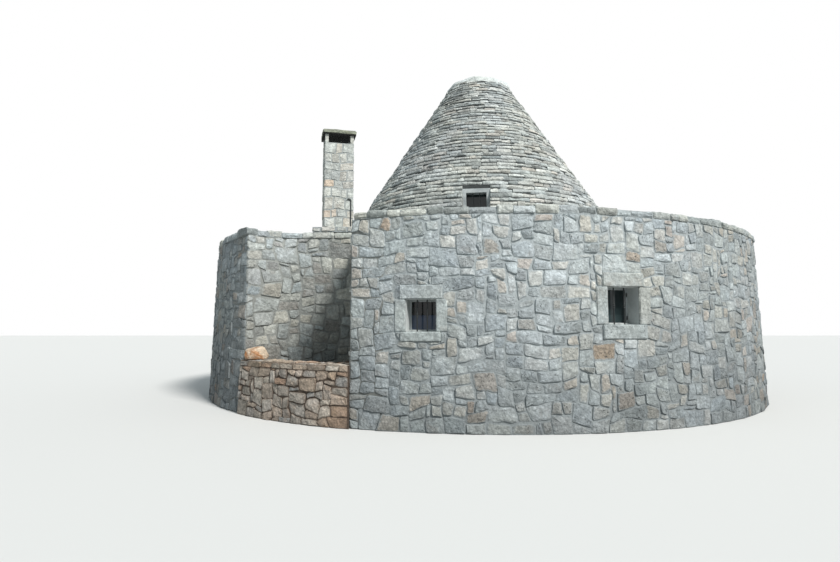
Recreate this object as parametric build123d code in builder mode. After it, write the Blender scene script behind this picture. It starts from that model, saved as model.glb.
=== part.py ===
from build123d import *
import os
from dataclasses import dataclass, replace
from math import acos, ceil, cos, degrees, radians, sin

# Trullo house: a round dry stone drum with a roof terrace inside its parapet, a
# stone cone over the middle room, a chimney on a recess in the front left of the
# drum, and a planter in the foot of that recess. Millimetres, +Z up, front at -Y.
# The origin is the drum's centre at the lowest ground that the walls reach.
# Every angle is a polar angle about the drum's or the cone's axis, in degrees.
# Round walls have flat facets, each about as wide as one of their stones, and a
# radius is measured to the corners between the facets.

# Drum wall
DRUM_SIDES = 120
WALL_TOP = 3370
DRUM_RADIUS = 6550  # outer face at the top of the wall
BATTER = 0.035  # how far the face leans out for each unit down
WALL_THICKNESS = 700  # at the top, down to the room side
PARAPET_THICKNESS = 450  # above the ledge that carries the roof deck
COPING_HEIGHT = 130
COPING_OVERHANG = 35
COPING_INNER_OVERHANG = 30

# Floor and roof deck
FLOOR_LEVEL = 600
DECK_UNDERSIDE = 2800
DECK_THICKNESS = 250
SEAT_CLEARANCE = 0.3  # between curved faces that meet

# Thick round wall of the middle room, with an arched way to each side
RING_SIDES = 72
RING_INNER_RADIUS = 3000
RING_OUTER_RADIUS = 4250
ARCH_WIDTH = 1600
ARCH_SPRING = 1750  # height of the arch's spring line
ARCH_NAMES = {-90: "front_right", 0: "back_right", 90: "back_left", 180: "front_left"}
ARCH_SPACING = 90

# Cone of stepped courses over a corbelled dome
CONE_AXIS_X = 170
CONE_SIDES = 24
CONE_FOOT_RADIUS = 4115  # outside, where it leaves the deck
CONE_SLOPE = 0.642  # radius lost for each unit up
CONE_TOP = 8250  # where the pale cap begins
CONE_COURSES = 52
COURSE_THINNING = 0.7  # height of the last course as a share of the first
CROWN_THICKNESS = 700  # masonry over the top of the dome
DOME_SIDES = 24
DOME_RINGS = 15
DOME_FOOT_RADIUS = 2830  # room side, at the foot
DOME_TOP_RADIUS = 300

# Cap of the cone: heights and radii of its bands, from its foot up
CAP_SIDES = 24
CAP_LEVELS = (0, 80, 150, 230, 290)
CAP_RADII = (805, 690, 550, 260, 60)

# Window in the cone's front
CONE_WINDOW_ANGLE = -97.5
CONE_WINDOW_PROUD = 10
CONE_WINDOW_WIDTH = 450
CONE_WINDOW_BOTTOM = 3900
CONE_WINDOW_TOP = 4560
CONE_JAMB_WIDTH = 80
CONE_LINTEL_HEIGHT = 90
CONE_SURROUND_DEPTH = 220

# Recess in the front left of the drum
RECESS_BACK_Y = -4080
RECESS_SIDE_X = -2600
RECESS_CORNER_X = -3900
RECESS_CORNER_RADIUS = 1000
RECESS_CORNER_TURN = 60
RECESS_WALL = 540

# Planter in the foot of the recess
PLANTER_TOP = 985
PLANTER_THICKNESS = 350
PLANTER_PROUD = 60
SOIL_DROP = 90

# Chimney on the recess wall
CHIMNEY_X = -3180
CHIMNEY_TURN = 14  # degrees that its front is turned to the right
CHIMNEY_WIDTH = 580
CHIMNEY_DEPTH = 500
CHIMNEY_TOP = 5350
CHIMNEY_PROUD = 20
BASE_HEIGHT = 100
BASE_LEFT = 110  # beyond the turned stack's corners
BASE_RIGHT = 90
FLUE = 320
POST_SIZE = 70
POST_HEIGHT = 180
CAP_SLAB_HEIGHT = 90
CAP_SLAB_OVERHANG = 50

# Left window of the drum
LEFT_ANGLE = -102.85
LEFT_WIDTH = 490
LEFT_BOTTOM = 1530
LEFT_TOP = 2035
LEFT_JAMB = 170
LEFT_LINTEL_LENGTH = 680
LEFT_LINTEL_HEIGHT = 220
LEFT_SILL_LENGTH = 640
LEFT_SILL_HEIGHT = 150

# Right window of the drum
RIGHT_ANGLE = -74.85
RIGHT_WIDTH = 570
RIGHT_BOTTOM = 1640
RIGHT_TOP = 2230
RIGHT_JAMB = 200
RIGHT_LINTEL_LENGTH = 740
RIGHT_LINTEL_HEIGHT = 220
RIGHT_SILL_LENGTH = 780
RIGHT_SILL_HEIGHT = 225

# Doorway
DOOR_ANGLE = 180
DOOR_WIDTH = 1000
DOOR_HEIGHT = 2000
DOOR_JAMB = 200
DOOR_LINTEL_LENGTH = 1400
DOOR_LINTEL_HEIGHT = 200
THRESHOLD_LENGTH = 1400
THRESHOLD_HEIGHT = 120
DOOR_THICKNESS = 60
DOOR_GAP = 3

# Dressed stones, frames and glass
SURROUND_DEPTH = 300  # how far the dressed stones reach into the wall
SURROUND_PROUD = 12
SILL_PROUD = 45
FRAME_REBATE = 25  # how far the frame hides behind the jambs
FRAME_WIDTH = 55
FRAME_DEPTH = 60
GLASS_THICKNESS = 8

# Where the drum's wall is parted, besides at the recess
FRONT_JOINT = -90
RIGHT_FRONT_JOINT = -60
RIGHT_BACK_JOINT = 60
BACK_JOINT = 90
LEFT_BACK_JOINT = 117
DOOR_JOINT = 165
LEFT_FRONT_JOINT = 195

# Worked out from the sizes above
ROOM_RADIUS = DRUM_RADIUS - WALL_THICKNESS
PARAPET_RADIUS = DRUM_RADIUS - PARAPET_THICKNESS
COPING_TOP = WALL_TOP + COPING_HEIGHT
DECK_TOP = DECK_UNDERSIDE + DECK_THICKNESS
DOME_TOP = CONE_TOP - CROWN_THICKNESS
BASE_TOP = COPING_TOP + BASE_HEIGHT
POST_TOP = CHIMNEY_TOP + POST_HEIGHT
CHIMNEY_COS = cos(radians(CHIMNEY_TURN))
CHIMNEY_SIN = sin(radians(CHIMNEY_TURN))
CHIMNEY_SPAN = CHIMNEY_WIDTH * CHIMNEY_COS + CHIMNEY_DEPTH * CHIMNEY_SIN
CHIMNEY_REACH = CHIMNEY_WIDTH * CHIMNEY_SIN + CHIMNEY_DEPTH * CHIMNEY_COS
CHIMNEY_Y = RECESS_BACK_Y - CHIMNEY_PROUD + CHIMNEY_REACH / 2
CHIMNEY_PLACE = Location((CHIMNEY_X, CHIMNEY_Y, 0), (0, 0, CHIMNEY_TURN))
FAR = 3 * DRUM_RADIUS

os.makedirs("parts", exist_ok=True)


@dataclass
class Opening:
    """A window or doorway in the drum, with its dressed stones."""

    angle: float
    width: float
    bottom: float
    top: float
    jamb: float
    lintel_length: float
    lintel_height: float
    sill_length: float
    sill_height: float

    @property
    def middle(self):
        return (self.bottom + self.top) / 2


left_window = Opening(
    LEFT_ANGLE,
    LEFT_WIDTH,
    LEFT_BOTTOM,
    LEFT_TOP,
    LEFT_JAMB,
    LEFT_LINTEL_LENGTH,
    LEFT_LINTEL_HEIGHT,
    LEFT_SILL_LENGTH,
    LEFT_SILL_HEIGHT,
)
right_window = Opening(
    RIGHT_ANGLE,
    RIGHT_WIDTH,
    RIGHT_BOTTOM,
    RIGHT_TOP,
    RIGHT_JAMB,
    RIGHT_LINTEL_LENGTH,
    RIGHT_LINTEL_HEIGHT,
    RIGHT_SILL_LENGTH,
    RIGHT_SILL_HEIGHT,
)
back_left_window = replace(left_window, angle=-LEFT_ANGLE)
back_right_window = replace(right_window, angle=-RIGHT_ANGLE)
doorway = Opening(
    DOOR_ANGLE,
    DOOR_WIDTH,
    FLOOR_LEVEL,
    FLOOR_LEVEL + DOOR_HEIGHT,
    DOOR_JAMB,
    DOOR_LINTEL_LENGTH,
    DOOR_LINTEL_HEIGHT,
    THRESHOLD_LENGTH,
    THRESHOLD_HEIGHT,
)


def face_radius(z):
    """Radius of the drum's outer face at this height."""
    return DRUM_RADIUS + BATTER * (WALL_TOP - z)


def cone_radius(z):
    """Radius of the cone's outside at this height."""
    return CONE_FOOT_RADIUS - CONE_SLOPE * (z - DECK_TOP)


def outward(angle, radius=1.0, axis_x=0.0):
    """Point at this angle and radius about an upright axis on the X axis."""
    return Vector(axis_x, 0, 0) + Vector(radius, 0, 0).rotate(Axis.Z, angle)


def facing_plane(angle, radius, axis_x=0.0):
    """Upright plane that faces outward at this angle, with its y pointing up."""
    return Plane(
        origin=outward(angle, radius, axis_x),
        x_dir=outward(angle + 90),
        z_dir=outward(angle),
    )


def panel(plane, width, bottom, top, shift=0.0):
    """Upright rectangle on a facing plane, between two heights."""
    with BuildSketch(plane) as sketch:
        with Locations((shift, (bottom + top) / 2)):
            Rectangle(width, top - bottom)
    return sketch.sketch


def round_plan(radius, sides, z=0.0, axis_x=0.0, turn=0.0):
    """Plan of a round form: a regular outline of flat facets at this height."""
    with BuildSketch(Plane.XY.offset(z)) as sketch:
        with Locations((axis_x, 0)):
            RegularPolygon(radius, sides, rotation=turn)
    return sketch.sketch


def sector_plan(start, end, z=0.0):
    """Plan of everything between two angles, as seen from the drum's axis."""
    spokes = ceil((end - start) / 60)
    rim = [
        outward(start + (end - start) * spoke / spokes, FAR)
        for spoke in range(spokes + 1)
    ]
    with BuildSketch(Plane.XY.offset(z)) as sketch:
        with BuildLine():
            Polyline((0, 0), *[(point.X, point.Y) for point in rim], close=True)
        make_face()
    return sketch.sketch


def recess_plan(grow=0.0):
    """Plan of the recess, open to the outside, grown into the drum by a thickness."""
    with BuildSketch() as sketch:
        with BuildLine():
            corner = CenterArc(
                (RECESS_CORNER_X, RECESS_BACK_Y - RECESS_CORNER_RADIUS),
                RECESS_CORNER_RADIUS + grow,
                90,
                RECESS_CORNER_TURN,
            )
            flank = Line(corner @ 1, corner @ 1 + (corner % 1) * DRUM_RADIUS)
            Polyline(
                flank @ 1,
                (RECESS_SIDE_X + grow, -FAR),
                (RECESS_SIDE_X + grow, RECESS_BACK_Y + grow),
                corner @ 0,
            )
        make_face()
    return sketch.sketch


def frustum(foot, head, bottom, top, sides, axis_x=0.0):
    """Solid with flat leaning facets, between two radii at two heights."""
    rims = []
    for radius, z in ((foot, bottom), (head, top)):
        corners = [
            outward(360 * side / sides, radius, axis_x) + Vector(0, 0, z)
            for side in range(sides)
        ]
        rims.append(corners + corners[:1])
    low, high = rims
    outlines = [low[:-1], high[:-1]]
    outlines += [
        [low[side], low[side + 1], high[side + 1], high[side]] for side in range(sides)
    ]
    faces = [Face(Wire.make_polygon(outline, close=True)) for outline in outlines]
    return Solid(Shell(faces))


def save(part, name):
    part.label = name
    export_step(part, f"parts/{name}.step")


# The drum's wall: outside leaning in, inside stepped back to a ledge for the deck
drum = frustum(face_radius(0), DRUM_RADIUS, 0, WALL_TOP, DRUM_SIDES)
with BuildPart() as drum_wall:
    add(drum)
    extrude(
        round_plan(ROOM_RADIUS, DRUM_SIDES), amount=DECK_UNDERSIDE, mode=Mode.SUBTRACT
    )
    extrude(
        round_plan(PARAPET_RADIUS, DRUM_SIDES, DECK_UNDERSIDE),
        amount=WALL_TOP - DECK_UNDERSIDE,
        mode=Mode.SUBTRACT,
    )


def surround_plane(opening):
    """Where the dressed stones of an opening end inside the wall."""
    return facing_plane(opening.angle, face_radius(opening.middle) - SURROUND_DEPTH)


def cut_opening(opening, rebate):
    """Cut the way through the wall and the seats of the dressed stones."""
    back = surround_plane(opening)
    outside = SURROUND_DEPTH + WALL_THICKNESS
    seats = [
        (opening.width + 2 * opening.jamb, opening.bottom, opening.top),
        (opening.lintel_length, opening.top, opening.top + opening.lintel_height),
        (opening.sill_length, opening.bottom - opening.sill_height, opening.bottom),
    ]
    for width, bottom, top in seats:
        extrude(panel(back, width, bottom, top), amount=outside, mode=Mode.SUBTRACT)
    way = panel(
        back,
        opening.width + 2 * rebate,
        opening.bottom - rebate,
        opening.top + rebate,
    )
    extrude(way, amount=-2 * WALL_THICKNESS, mode=Mode.SUBTRACT)


def wall_piece(name, start, end, opening=None, rebate=FRAME_REBATE, by_recess=False):
    """One length of the drum's wall, with its opening cut through it."""
    with BuildPart() as wall:
        add(drum_wall.part)
        extrude(sector_plan(start, end), amount=WALL_TOP, mode=Mode.INTERSECT)
        if opening:
            cut_opening(opening, rebate)
        if by_recess:
            extrude(recess_plan(RECESS_WALL), amount=FAR, mode=Mode.SUBTRACT)
    save(wall.part, name)


# The two lengths beside the recess meet where its side reaches the drum's face
recess_joint = -degrees(acos(RECESS_SIDE_X / DRUM_RADIUS))
wall_piece("wall_front_left", recess_joint, FRONT_JOINT, left_window, by_recess=True)
wall_piece("wall_front_right", FRONT_JOINT, RIGHT_FRONT_JOINT, right_window)
wall_piece("wall_right", RIGHT_FRONT_JOINT, RIGHT_BACK_JOINT)
wall_piece("wall_back_right", RIGHT_BACK_JOINT, BACK_JOINT, back_right_window)
wall_piece("wall_back_left", BACK_JOINT, LEFT_BACK_JOINT, back_left_window)
wall_piece("wall_left_back", LEFT_BACK_JOINT, DOOR_JOINT)
wall_piece("wall_doorway", DOOR_JOINT, LEFT_FRONT_JOINT, doorway, rebate=0)
wall_piece("wall_left_front", LEFT_FRONT_JOINT, recess_joint + 360, by_recess=True)

# The recess and the coping that follows the drum and the recess
with BuildPart() as recess_wall:
    add(drum)
    extrude(recess_plan(RECESS_WALL), amount=WALL_TOP, mode=Mode.INTERSECT)
    extrude(recess_plan(), amount=WALL_TOP, mode=Mode.SUBTRACT)
    extrude(
        round_plan(RING_OUTER_RADIUS, RING_SIDES, FLOOR_LEVEL),
        amount=DECK_UNDERSIDE - FLOOR_LEVEL,
        mode=Mode.SUBTRACT,
    )
save(recess_wall.part, "recess_wall")

with BuildPart() as coping:
    with BuildSketch(Plane.XY.offset(WALL_TOP)):
        RegularPolygon(DRUM_RADIUS + COPING_OVERHANG, DRUM_SIDES)
        add(recess_plan(-COPING_OVERHANG), mode=Mode.SUBTRACT)
        with Locations(CHIMNEY_PLACE):
            Rectangle(FLUE, FLUE, mode=Mode.SUBTRACT)
    extrude(amount=COPING_HEIGHT)
    with BuildSketch(Plane.XY.offset(WALL_TOP)):
        RegularPolygon(PARAPET_RADIUS - COPING_INNER_OVERHANG, DRUM_SIDES)
        add(recess_plan(RECESS_WALL + COPING_INNER_OVERHANG), mode=Mode.SUBTRACT)
    extrude(amount=COPING_HEIGHT, mode=Mode.SUBTRACT)
save(coping.part, "coping")

# The planter closes the foot of the recess with a wall that follows the drum
planter_foot = face_radius(0) + PLANTER_PROUD
planter_head = face_radius(PLANTER_TOP) + PLANTER_PROUD
planter_inside = face_radius(0) - PLANTER_THICKNESS
with BuildPart() as planter_wall:
    add(frustum(planter_foot, planter_head, 0, PLANTER_TOP, DRUM_SIDES))
    extrude(recess_plan(), amount=PLANTER_TOP, mode=Mode.INTERSECT)
    extrude(
        round_plan(planter_inside, DRUM_SIDES),
        amount=PLANTER_TOP,
        mode=Mode.SUBTRACT,
    )
save(planter_wall.part, "planter_wall")

with BuildPart() as planter_soil:
    extrude(recess_plan(), amount=PLANTER_TOP - SOIL_DROP)
    extrude(
        round_plan(planter_inside, DRUM_SIDES), amount=PLANTER_TOP, mode=Mode.INTERSECT
    )
save(planter_soil.part, "planter_soil")

# The turned chimney, with its flue and a slot for the smoke under the cap
with BuildPart() as chimney_base:
    with BuildSketch(Plane.XY.offset(COPING_TOP)):
        with Locations((CHIMNEY_X + (BASE_RIGHT - BASE_LEFT) / 2, CHIMNEY_Y)):
            Rectangle(CHIMNEY_SPAN + BASE_LEFT + BASE_RIGHT, CHIMNEY_REACH)
        with Locations(CHIMNEY_PLACE):
            Rectangle(FLUE, FLUE, mode=Mode.SUBTRACT)
    extrude(amount=BASE_HEIGHT)
save(chimney_base.part, "chimney_base")

with BuildPart() as chimney_stack:
    with BuildSketch(Plane.XY.offset(BASE_TOP)):
        with Locations(CHIMNEY_PLACE):
            Rectangle(CHIMNEY_WIDTH, CHIMNEY_DEPTH)
            Rectangle(FLUE, FLUE, mode=Mode.SUBTRACT)
    extrude(amount=CHIMNEY_TOP - BASE_TOP)
save(chimney_stack.part, "chimney_stack")

with BuildPart() as chimney_posts:
    with BuildSketch(Plane.XY.offset(CHIMNEY_TOP)):
        with Locations(CHIMNEY_PLACE):
            with GridLocations(
                CHIMNEY_WIDTH - POST_SIZE, CHIMNEY_DEPTH - POST_SIZE, 2, 2
            ):
                Rectangle(POST_SIZE, POST_SIZE)
    extrude(amount=POST_HEIGHT)
save(chimney_posts.part, "chimney_posts")

with BuildPart() as chimney_cap:
    with BuildSketch(Plane.XY.offset(POST_TOP)):
        with Locations(CHIMNEY_PLACE):
            Rectangle(
                CHIMNEY_WIDTH + 2 * CAP_SLAB_OVERHANG,
                CHIMNEY_DEPTH + 2 * CAP_SLAB_OVERHANG,
            )
    extrude(amount=CAP_SLAB_HEIGHT)
save(chimney_cap.part, "chimney_cap")

# Floor and roof deck
with BuildPart() as floor:
    extrude(round_plan(ROOM_RADIUS, DRUM_SIDES), amount=FLOOR_LEVEL)
    extrude(
        recess_plan(RECESS_WALL + SEAT_CLEARANCE),
        amount=FLOOR_LEVEL,
        mode=Mode.SUBTRACT,
    )
save(floor.part, "floor")

with BuildPart() as roof_deck:
    with BuildSketch(Plane.XY.offset(DECK_UNDERSIDE)):
        RegularPolygon(PARAPET_RADIUS, DRUM_SIDES)
        RegularPolygon(RING_INNER_RADIUS, RING_SIDES, mode=Mode.SUBTRACT)
        add(recess_plan(RECESS_WALL + SEAT_CLEARANCE), mode=Mode.SUBTRACT)
    extrude(amount=DECK_THICKNESS)
save(roof_deck.part, "roof_deck")

# The middle room's wall, in quarters that meet at the crowns of the arched ways
with BuildPart() as ring_wall:
    with BuildSketch(Plane.XY.offset(FLOOR_LEVEL)):
        RegularPolygon(RING_OUTER_RADIUS, RING_SIDES)
        RegularPolygon(RING_INNER_RADIUS, RING_SIDES, mode=Mode.SUBTRACT)
    extrude(amount=DECK_UNDERSIDE - FLOOR_LEVEL)
    for angle in ARCH_NAMES:
        with BuildSketch(facing_plane(angle, 0)):
            with Locations((0, (FLOOR_LEVEL + ARCH_SPRING) / 2)):
                Rectangle(ARCH_WIDTH, ARCH_SPRING - FLOOR_LEVEL)
            with Locations((0, ARCH_SPRING)):
                Circle(ARCH_WIDTH / 2)
        extrude(amount=2 * RING_OUTER_RADIUS, mode=Mode.SUBTRACT)

for angle, name in ARCH_NAMES.items():
    with BuildPart() as ring_quarter:
        add(ring_wall.part)
        extrude(
            sector_plan(angle, angle + ARCH_SPACING, FLOOR_LEVEL),
            amount=DECK_UNDERSIDE - FLOOR_LEVEL,
            mode=Mode.INTERSECT,
        )
    save(ring_quarter.part, f"ring_wall_{name}")


# The cone: stepped courses outside, corbelled rings of the dome inside


def course_levels(bottom, top, count):
    """Heights that part a rise into courses, each a little thinner than the last."""
    thinning = (1 - COURSE_THINNING) / (count - 1)
    shares = [1 - thinning * number for number in range(count)]
    levels = [bottom]
    for share in shares:
        levels.append(levels[-1] + (top - bottom) * share / sum(shares))
    return levels


def stepped_stack(levels, radius_at, sides):
    """Prisms on the cone's axis, each turned half a facet from the one below."""
    prisms = []
    for number, (low, high) in enumerate(zip(levels, levels[1:])):
        turn = 180 / sides * (number % 2)
        radius = radius_at((low + high) / 2)
        plan = round_plan(radius, sides, low, CONE_AXIS_X, turn)
        prisms.append(extrude(plan, amount=high - low))
    return prisms


def dome_radius(z):
    """Radius of the dome's rings at this height."""
    rise = (z - DECK_TOP) / (DOME_TOP - DECK_TOP)
    return DOME_FOOT_RADIUS + (DOME_TOP_RADIUS - DOME_FOOT_RADIUS) * rise


cone_courses = stepped_stack(
    course_levels(DECK_TOP, CONE_TOP, CONE_COURSES), cone_radius, CONE_SIDES
)
dome_rings = stepped_stack(
    course_levels(DECK_TOP, DOME_TOP, DOME_RINGS), dome_radius, DOME_SIDES
)

cone_window_head = CONE_WINDOW_TOP + CONE_LINTEL_HEIGHT
cone_window_back = facing_plane(
    CONE_WINDOW_ANGLE,
    cone_radius(cone_window_head) + CONE_WINDOW_PROUD - CONE_SURROUND_DEPTH,
    CONE_AXIS_X,
)


def cone_window_panel(grow_side, grow_top):
    """The cone window's opening, grown to each side and upward."""
    return panel(
        cone_window_back,
        CONE_WINDOW_WIDTH + 2 * grow_side,
        CONE_WINDOW_BOTTOM,
        CONE_WINDOW_TOP + grow_top,
    )


with BuildPart() as cone:
    add(cone_courses)
    add(dome_rings, mode=Mode.SUBTRACT)
    extrude(
        cone_window_panel(CONE_JAMB_WIDTH, CONE_LINTEL_HEIGHT),
        amount=CONE_FOOT_RADIUS,
        mode=Mode.SUBTRACT,
    )
    extrude(
        cone_window_panel(FRAME_REBATE, FRAME_REBATE),
        amount=-(CONE_FOOT_RADIUS - DOME_FOOT_RADIUS),
        mode=Mode.SUBTRACT,
    )
save(cone.part, "cone")

with BuildPart() as cone_cap:
    cap_rims = [
        (radius, CONE_TOP + rise) for radius, rise in zip(CAP_RADII, CAP_LEVELS)
    ]
    for (foot, bottom), (head, top) in zip(cap_rims, cap_rims[1:]):
        add(frustum(foot, head, bottom, top, CAP_SIDES, CONE_AXIS_X))
save(cone_cap.part, "cone_cap")

with BuildPart() as cone_window_surround:
    extrude(
        cone_window_panel(CONE_JAMB_WIDTH, CONE_LINTEL_HEIGHT),
        amount=CONE_SURROUND_DEPTH,
    )
    extrude(
        cone_window_panel(0, 0),
        amount=CONE_SURROUND_DEPTH,
        mode=Mode.SUBTRACT,
    )
save(cone_window_surround.part, "cone_window_surround")

with BuildPart() as cone_window_glass:
    extrude(cone_window_panel(FRAME_REBATE, FRAME_REBATE), amount=-GLASS_THICKNESS)
save(cone_window_glass.part, "cone_window_glass")


# Dressed stones, frames and glass of the drum's openings


def dressed_stones(opening, places, bottom, top, proud):
    """Stones between two heights: each place is a width and how far across it is."""
    face = face_radius((bottom + top) / 2) + proud
    back = surround_plane(opening)
    for width, shift in places:
        stone = panel(back, width, bottom, top, shift)
        extrude(stone, amount=face - back.origin.length)


def lintel(opening):
    head = opening.top + opening.lintel_height
    place = (opening.lintel_length, 0)
    dressed_stones(opening, [place], opening.top, head, SURROUND_PROUD)


def jambs(opening):
    shift = (opening.width + opening.jamb) / 2
    places = [(opening.jamb, -shift), (opening.jamb, shift)]
    dressed_stones(opening, places, opening.bottom, opening.top, SURROUND_PROUD)


def sill(opening, proud=SILL_PROUD):
    foot = opening.bottom - opening.sill_height
    dressed_stones(opening, [(opening.sill_length, 0)], foot, opening.bottom, proud)


def threshold(opening):
    sill(opening, proud=0)


def light(plane, opening):
    """The clear rectangle inside an opening's frame."""
    edge = FRAME_WIDTH - FRAME_REBATE
    return panel(
        plane, opening.width - 2 * edge, opening.bottom + edge, opening.top - edge
    )


def frame(opening):
    back = surround_plane(opening)
    outline = panel(
        back,
        opening.width + 2 * FRAME_REBATE,
        opening.bottom - FRAME_REBATE,
        opening.top + FRAME_REBATE,
    )
    extrude(outline, amount=-FRAME_DEPTH)
    extrude(light(back, opening), amount=-FRAME_DEPTH, mode=Mode.SUBTRACT)


def glass(opening):
    middle = surround_plane(opening).offset(-FRAME_DEPTH / 2)
    extrude(light(middle, opening), amount=GLASS_THICKNESS / 2, both=True)


def leaf(opening):
    outline = panel(
        surround_plane(opening),
        opening.width - 2 * DOOR_GAP,
        opening.bottom,
        opening.top - DOOR_GAP,
    )
    extrude(outline, amount=-DOOR_THICKNESS)


window_pieces = {
    "lintel": lintel,
    "jambs": jambs,
    "sill": sill,
    "frame": frame,
    "glass": glass,
}
door_pieces = {
    "lintel": lintel,
    "jambs": jambs,
    "threshold": threshold,
    "leaf": leaf,
}
sets = [
    ("left_window", [left_window], window_pieces),
    ("right_window", [right_window], window_pieces),
    ("back_window", [back_left_window, back_right_window], window_pieces),
    ("door", [doorway], door_pieces),
]
for set_name, openings, pieces in sets:
    for piece_name, make in pieces.items():
        with BuildPart() as piece:
            for opening in openings:
                make(opening)
        save(piece.part, f"{set_name}_{piece_name}")
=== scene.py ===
"""Looks of the trullo house: its stones, courses, dressed surrounds, windows, door,
chimney and materials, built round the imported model. Metres, +Z up, front at -Y."""

from itertools import pairwise, product
from math import asin, cos, degrees, hypot, pi, radians, sin, sqrt, tan
from random import Random

import bpy
import numpy as np
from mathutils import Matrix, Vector


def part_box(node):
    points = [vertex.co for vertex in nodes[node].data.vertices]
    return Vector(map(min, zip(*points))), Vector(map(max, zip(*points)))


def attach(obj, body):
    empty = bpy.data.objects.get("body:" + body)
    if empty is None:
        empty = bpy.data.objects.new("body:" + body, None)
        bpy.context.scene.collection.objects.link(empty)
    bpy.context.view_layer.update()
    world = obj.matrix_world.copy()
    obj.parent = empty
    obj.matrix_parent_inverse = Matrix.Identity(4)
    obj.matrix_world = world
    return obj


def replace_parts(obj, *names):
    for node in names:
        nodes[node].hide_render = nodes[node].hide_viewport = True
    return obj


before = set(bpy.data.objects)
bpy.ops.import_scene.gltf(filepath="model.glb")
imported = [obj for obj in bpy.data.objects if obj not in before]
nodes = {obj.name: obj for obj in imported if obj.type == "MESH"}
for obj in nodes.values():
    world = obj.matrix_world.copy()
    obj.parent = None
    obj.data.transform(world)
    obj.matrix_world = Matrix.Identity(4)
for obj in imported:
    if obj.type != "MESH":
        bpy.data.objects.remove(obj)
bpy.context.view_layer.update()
bpy.context.scene.view_settings.view_transform = "Standard"

# Sizes read from the frame
WALL_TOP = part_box("coping")[0].z
COPING_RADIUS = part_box("coping")[1].x
FOOT_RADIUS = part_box("wall_right")[1].x
DECK_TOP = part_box("roof_deck")[1].z
DECK_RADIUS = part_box("roof_deck")[1].x
CONE_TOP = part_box("cone")[1].z
CONE_AXIS_X = (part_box("cone")[0].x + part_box("cone")[1].x) / 2
CONE_WINDOW_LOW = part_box("cone_window_surround")[0].z
CONE_WINDOW_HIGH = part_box("cone_window_surround")[1].z
CAP_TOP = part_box("cone_cap")[1].z
PLANTER_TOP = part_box("planter_wall")[1].z
SOIL_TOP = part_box("planter_soil")[1].z
BASE_LOW, BASE_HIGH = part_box("chimney_base")
STACK_LOW, STACK_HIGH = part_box("chimney_stack")
SLAB_LOW, SLAB_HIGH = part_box("chimney_cap")
CHIMNEY_CENTRE = (STACK_LOW + STACK_HIGH) / 2
FLOOR_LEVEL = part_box("door_leaf")[0].z

# Driving sizes, as in the solids
BATTER = 0.035
CONE_FOOT_RADIUS = 4.115
CONE_SLOPE = 0.642
CONE_COURSES = 52
COURSE_THINNING = 0.7
CONE_WINDOW_ANGLE = -97.5
CONE_WINDOW_HALF = 0.305
RECESS_BACK_Y = -4.08
RECESS_SIDE_X = -2.6
BEND_X = -3.9
BEND_RADIUS = 1.0
BEND_TURN = radians(60)
RECESS_WALL = 0.54
PLANTER_PROUD = 0.06
PLANTER_THICKNESS = 0.35
CHIMNEY_WIDTH = 0.58
CHIMNEY_DEPTH = 0.5
CHIMNEY_TURN = radians(14)
FLUE = 0.32
POST_SIZE = 0.07
SLAB_OVERHANG = 0.05
SURROUND_DEPTH = 0.3
SURROUND_PROUD = 0.012
SILL_PROUD = 0.045
FRAME_WIDTH = 0.055
FRAME_REBATE = 0.025

# Sizes of what is only dressed on
# Cells of the grids that stones are cut from
WALL_CELL, RECESS_CELL, TOP_CELL, RIM_CELL, FLAG_CELL = 0.088, 0.097, 0.1, 0.09, 0.19
CORNER_REACH = 0.6  # how far from a corner of the recess its lean is felt
RIM_PROUD = 0.035  # coping over the walls of the recess
RECESS_END_X = -5.4  # left end of the recess on the terrace
WORN_EDGE = 0.007  # width of the slope round a stone's face
SNUG = 0.005  # how far the dressed stones reach into the wall's mortar
BAR_INSET, BAR_GAP, BAR_SIDES = 0.13, 0.01, 10
BLOCK_PROUD, BLOCK_JOINT = 0.009, 0.008
PLAIN = (0.5, 0.5, 0.5)  # tint of what isn't stone
STONE_CREASE, SLAB_CREASE, BAR_CREASE = 24, 28, 30  # degrees from which an edge stays sharp

# Where the drum's face ends at the recess, at the wall's top and at its foot
LEFT_CORNER = (radians(223.73), radians(224.0))
RIGHT_CORNER = (radians(-113.39), radians(-112.95))


# Materials


def linear(colour):
    """Linear colour from one written as it shows on a screen, 0 to 255."""
    shares = [value / 255 for value in colour]
    return (*[v / 12.92 if v <= 0.04045 else ((v + 0.055) / 1.055) ** 2.4 for v in shares], 1.0)


class Nodes:
    """A node tree, with short calls for what is added to it."""

    def __init__(self, tree):
        self.tree = tree

    def put(self, sockets, values):
        """Links or sets sockets. A tuple is a colour as it shows on a screen, while a
        list is one in linear light."""
        for name, value in values.items():
            if isinstance(value, bpy.types.NodeSocket):
                self.tree.links.new(value, sockets[name])
            else:
                sockets[name].default_value = linear(value) if isinstance(value, tuple) else value

    def add(self, kind, inputs=None, **settings):
        node = self.tree.nodes.new("ShaderNode" + kind)
        for name, value in settings.items():
            setattr(node, name, value)
        self.put(node.inputs, inputs or {})
        return node

    def math(self, operation, *values):
        return self.add("Math", dict(enumerate(values)), operation=operation).outputs[0]

    def seen_directly(self):
        """One for what the camera sees, also through glass or in a mirror, else none."""
        rays = self.add("LightPath").outputs
        seen = self.math("MAXIMUM", rays["Is Camera Ray"], rays["Is Glossy Ray"])
        return self.math("MAXIMUM", seen, rays["Is Transmission Ray"])


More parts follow.
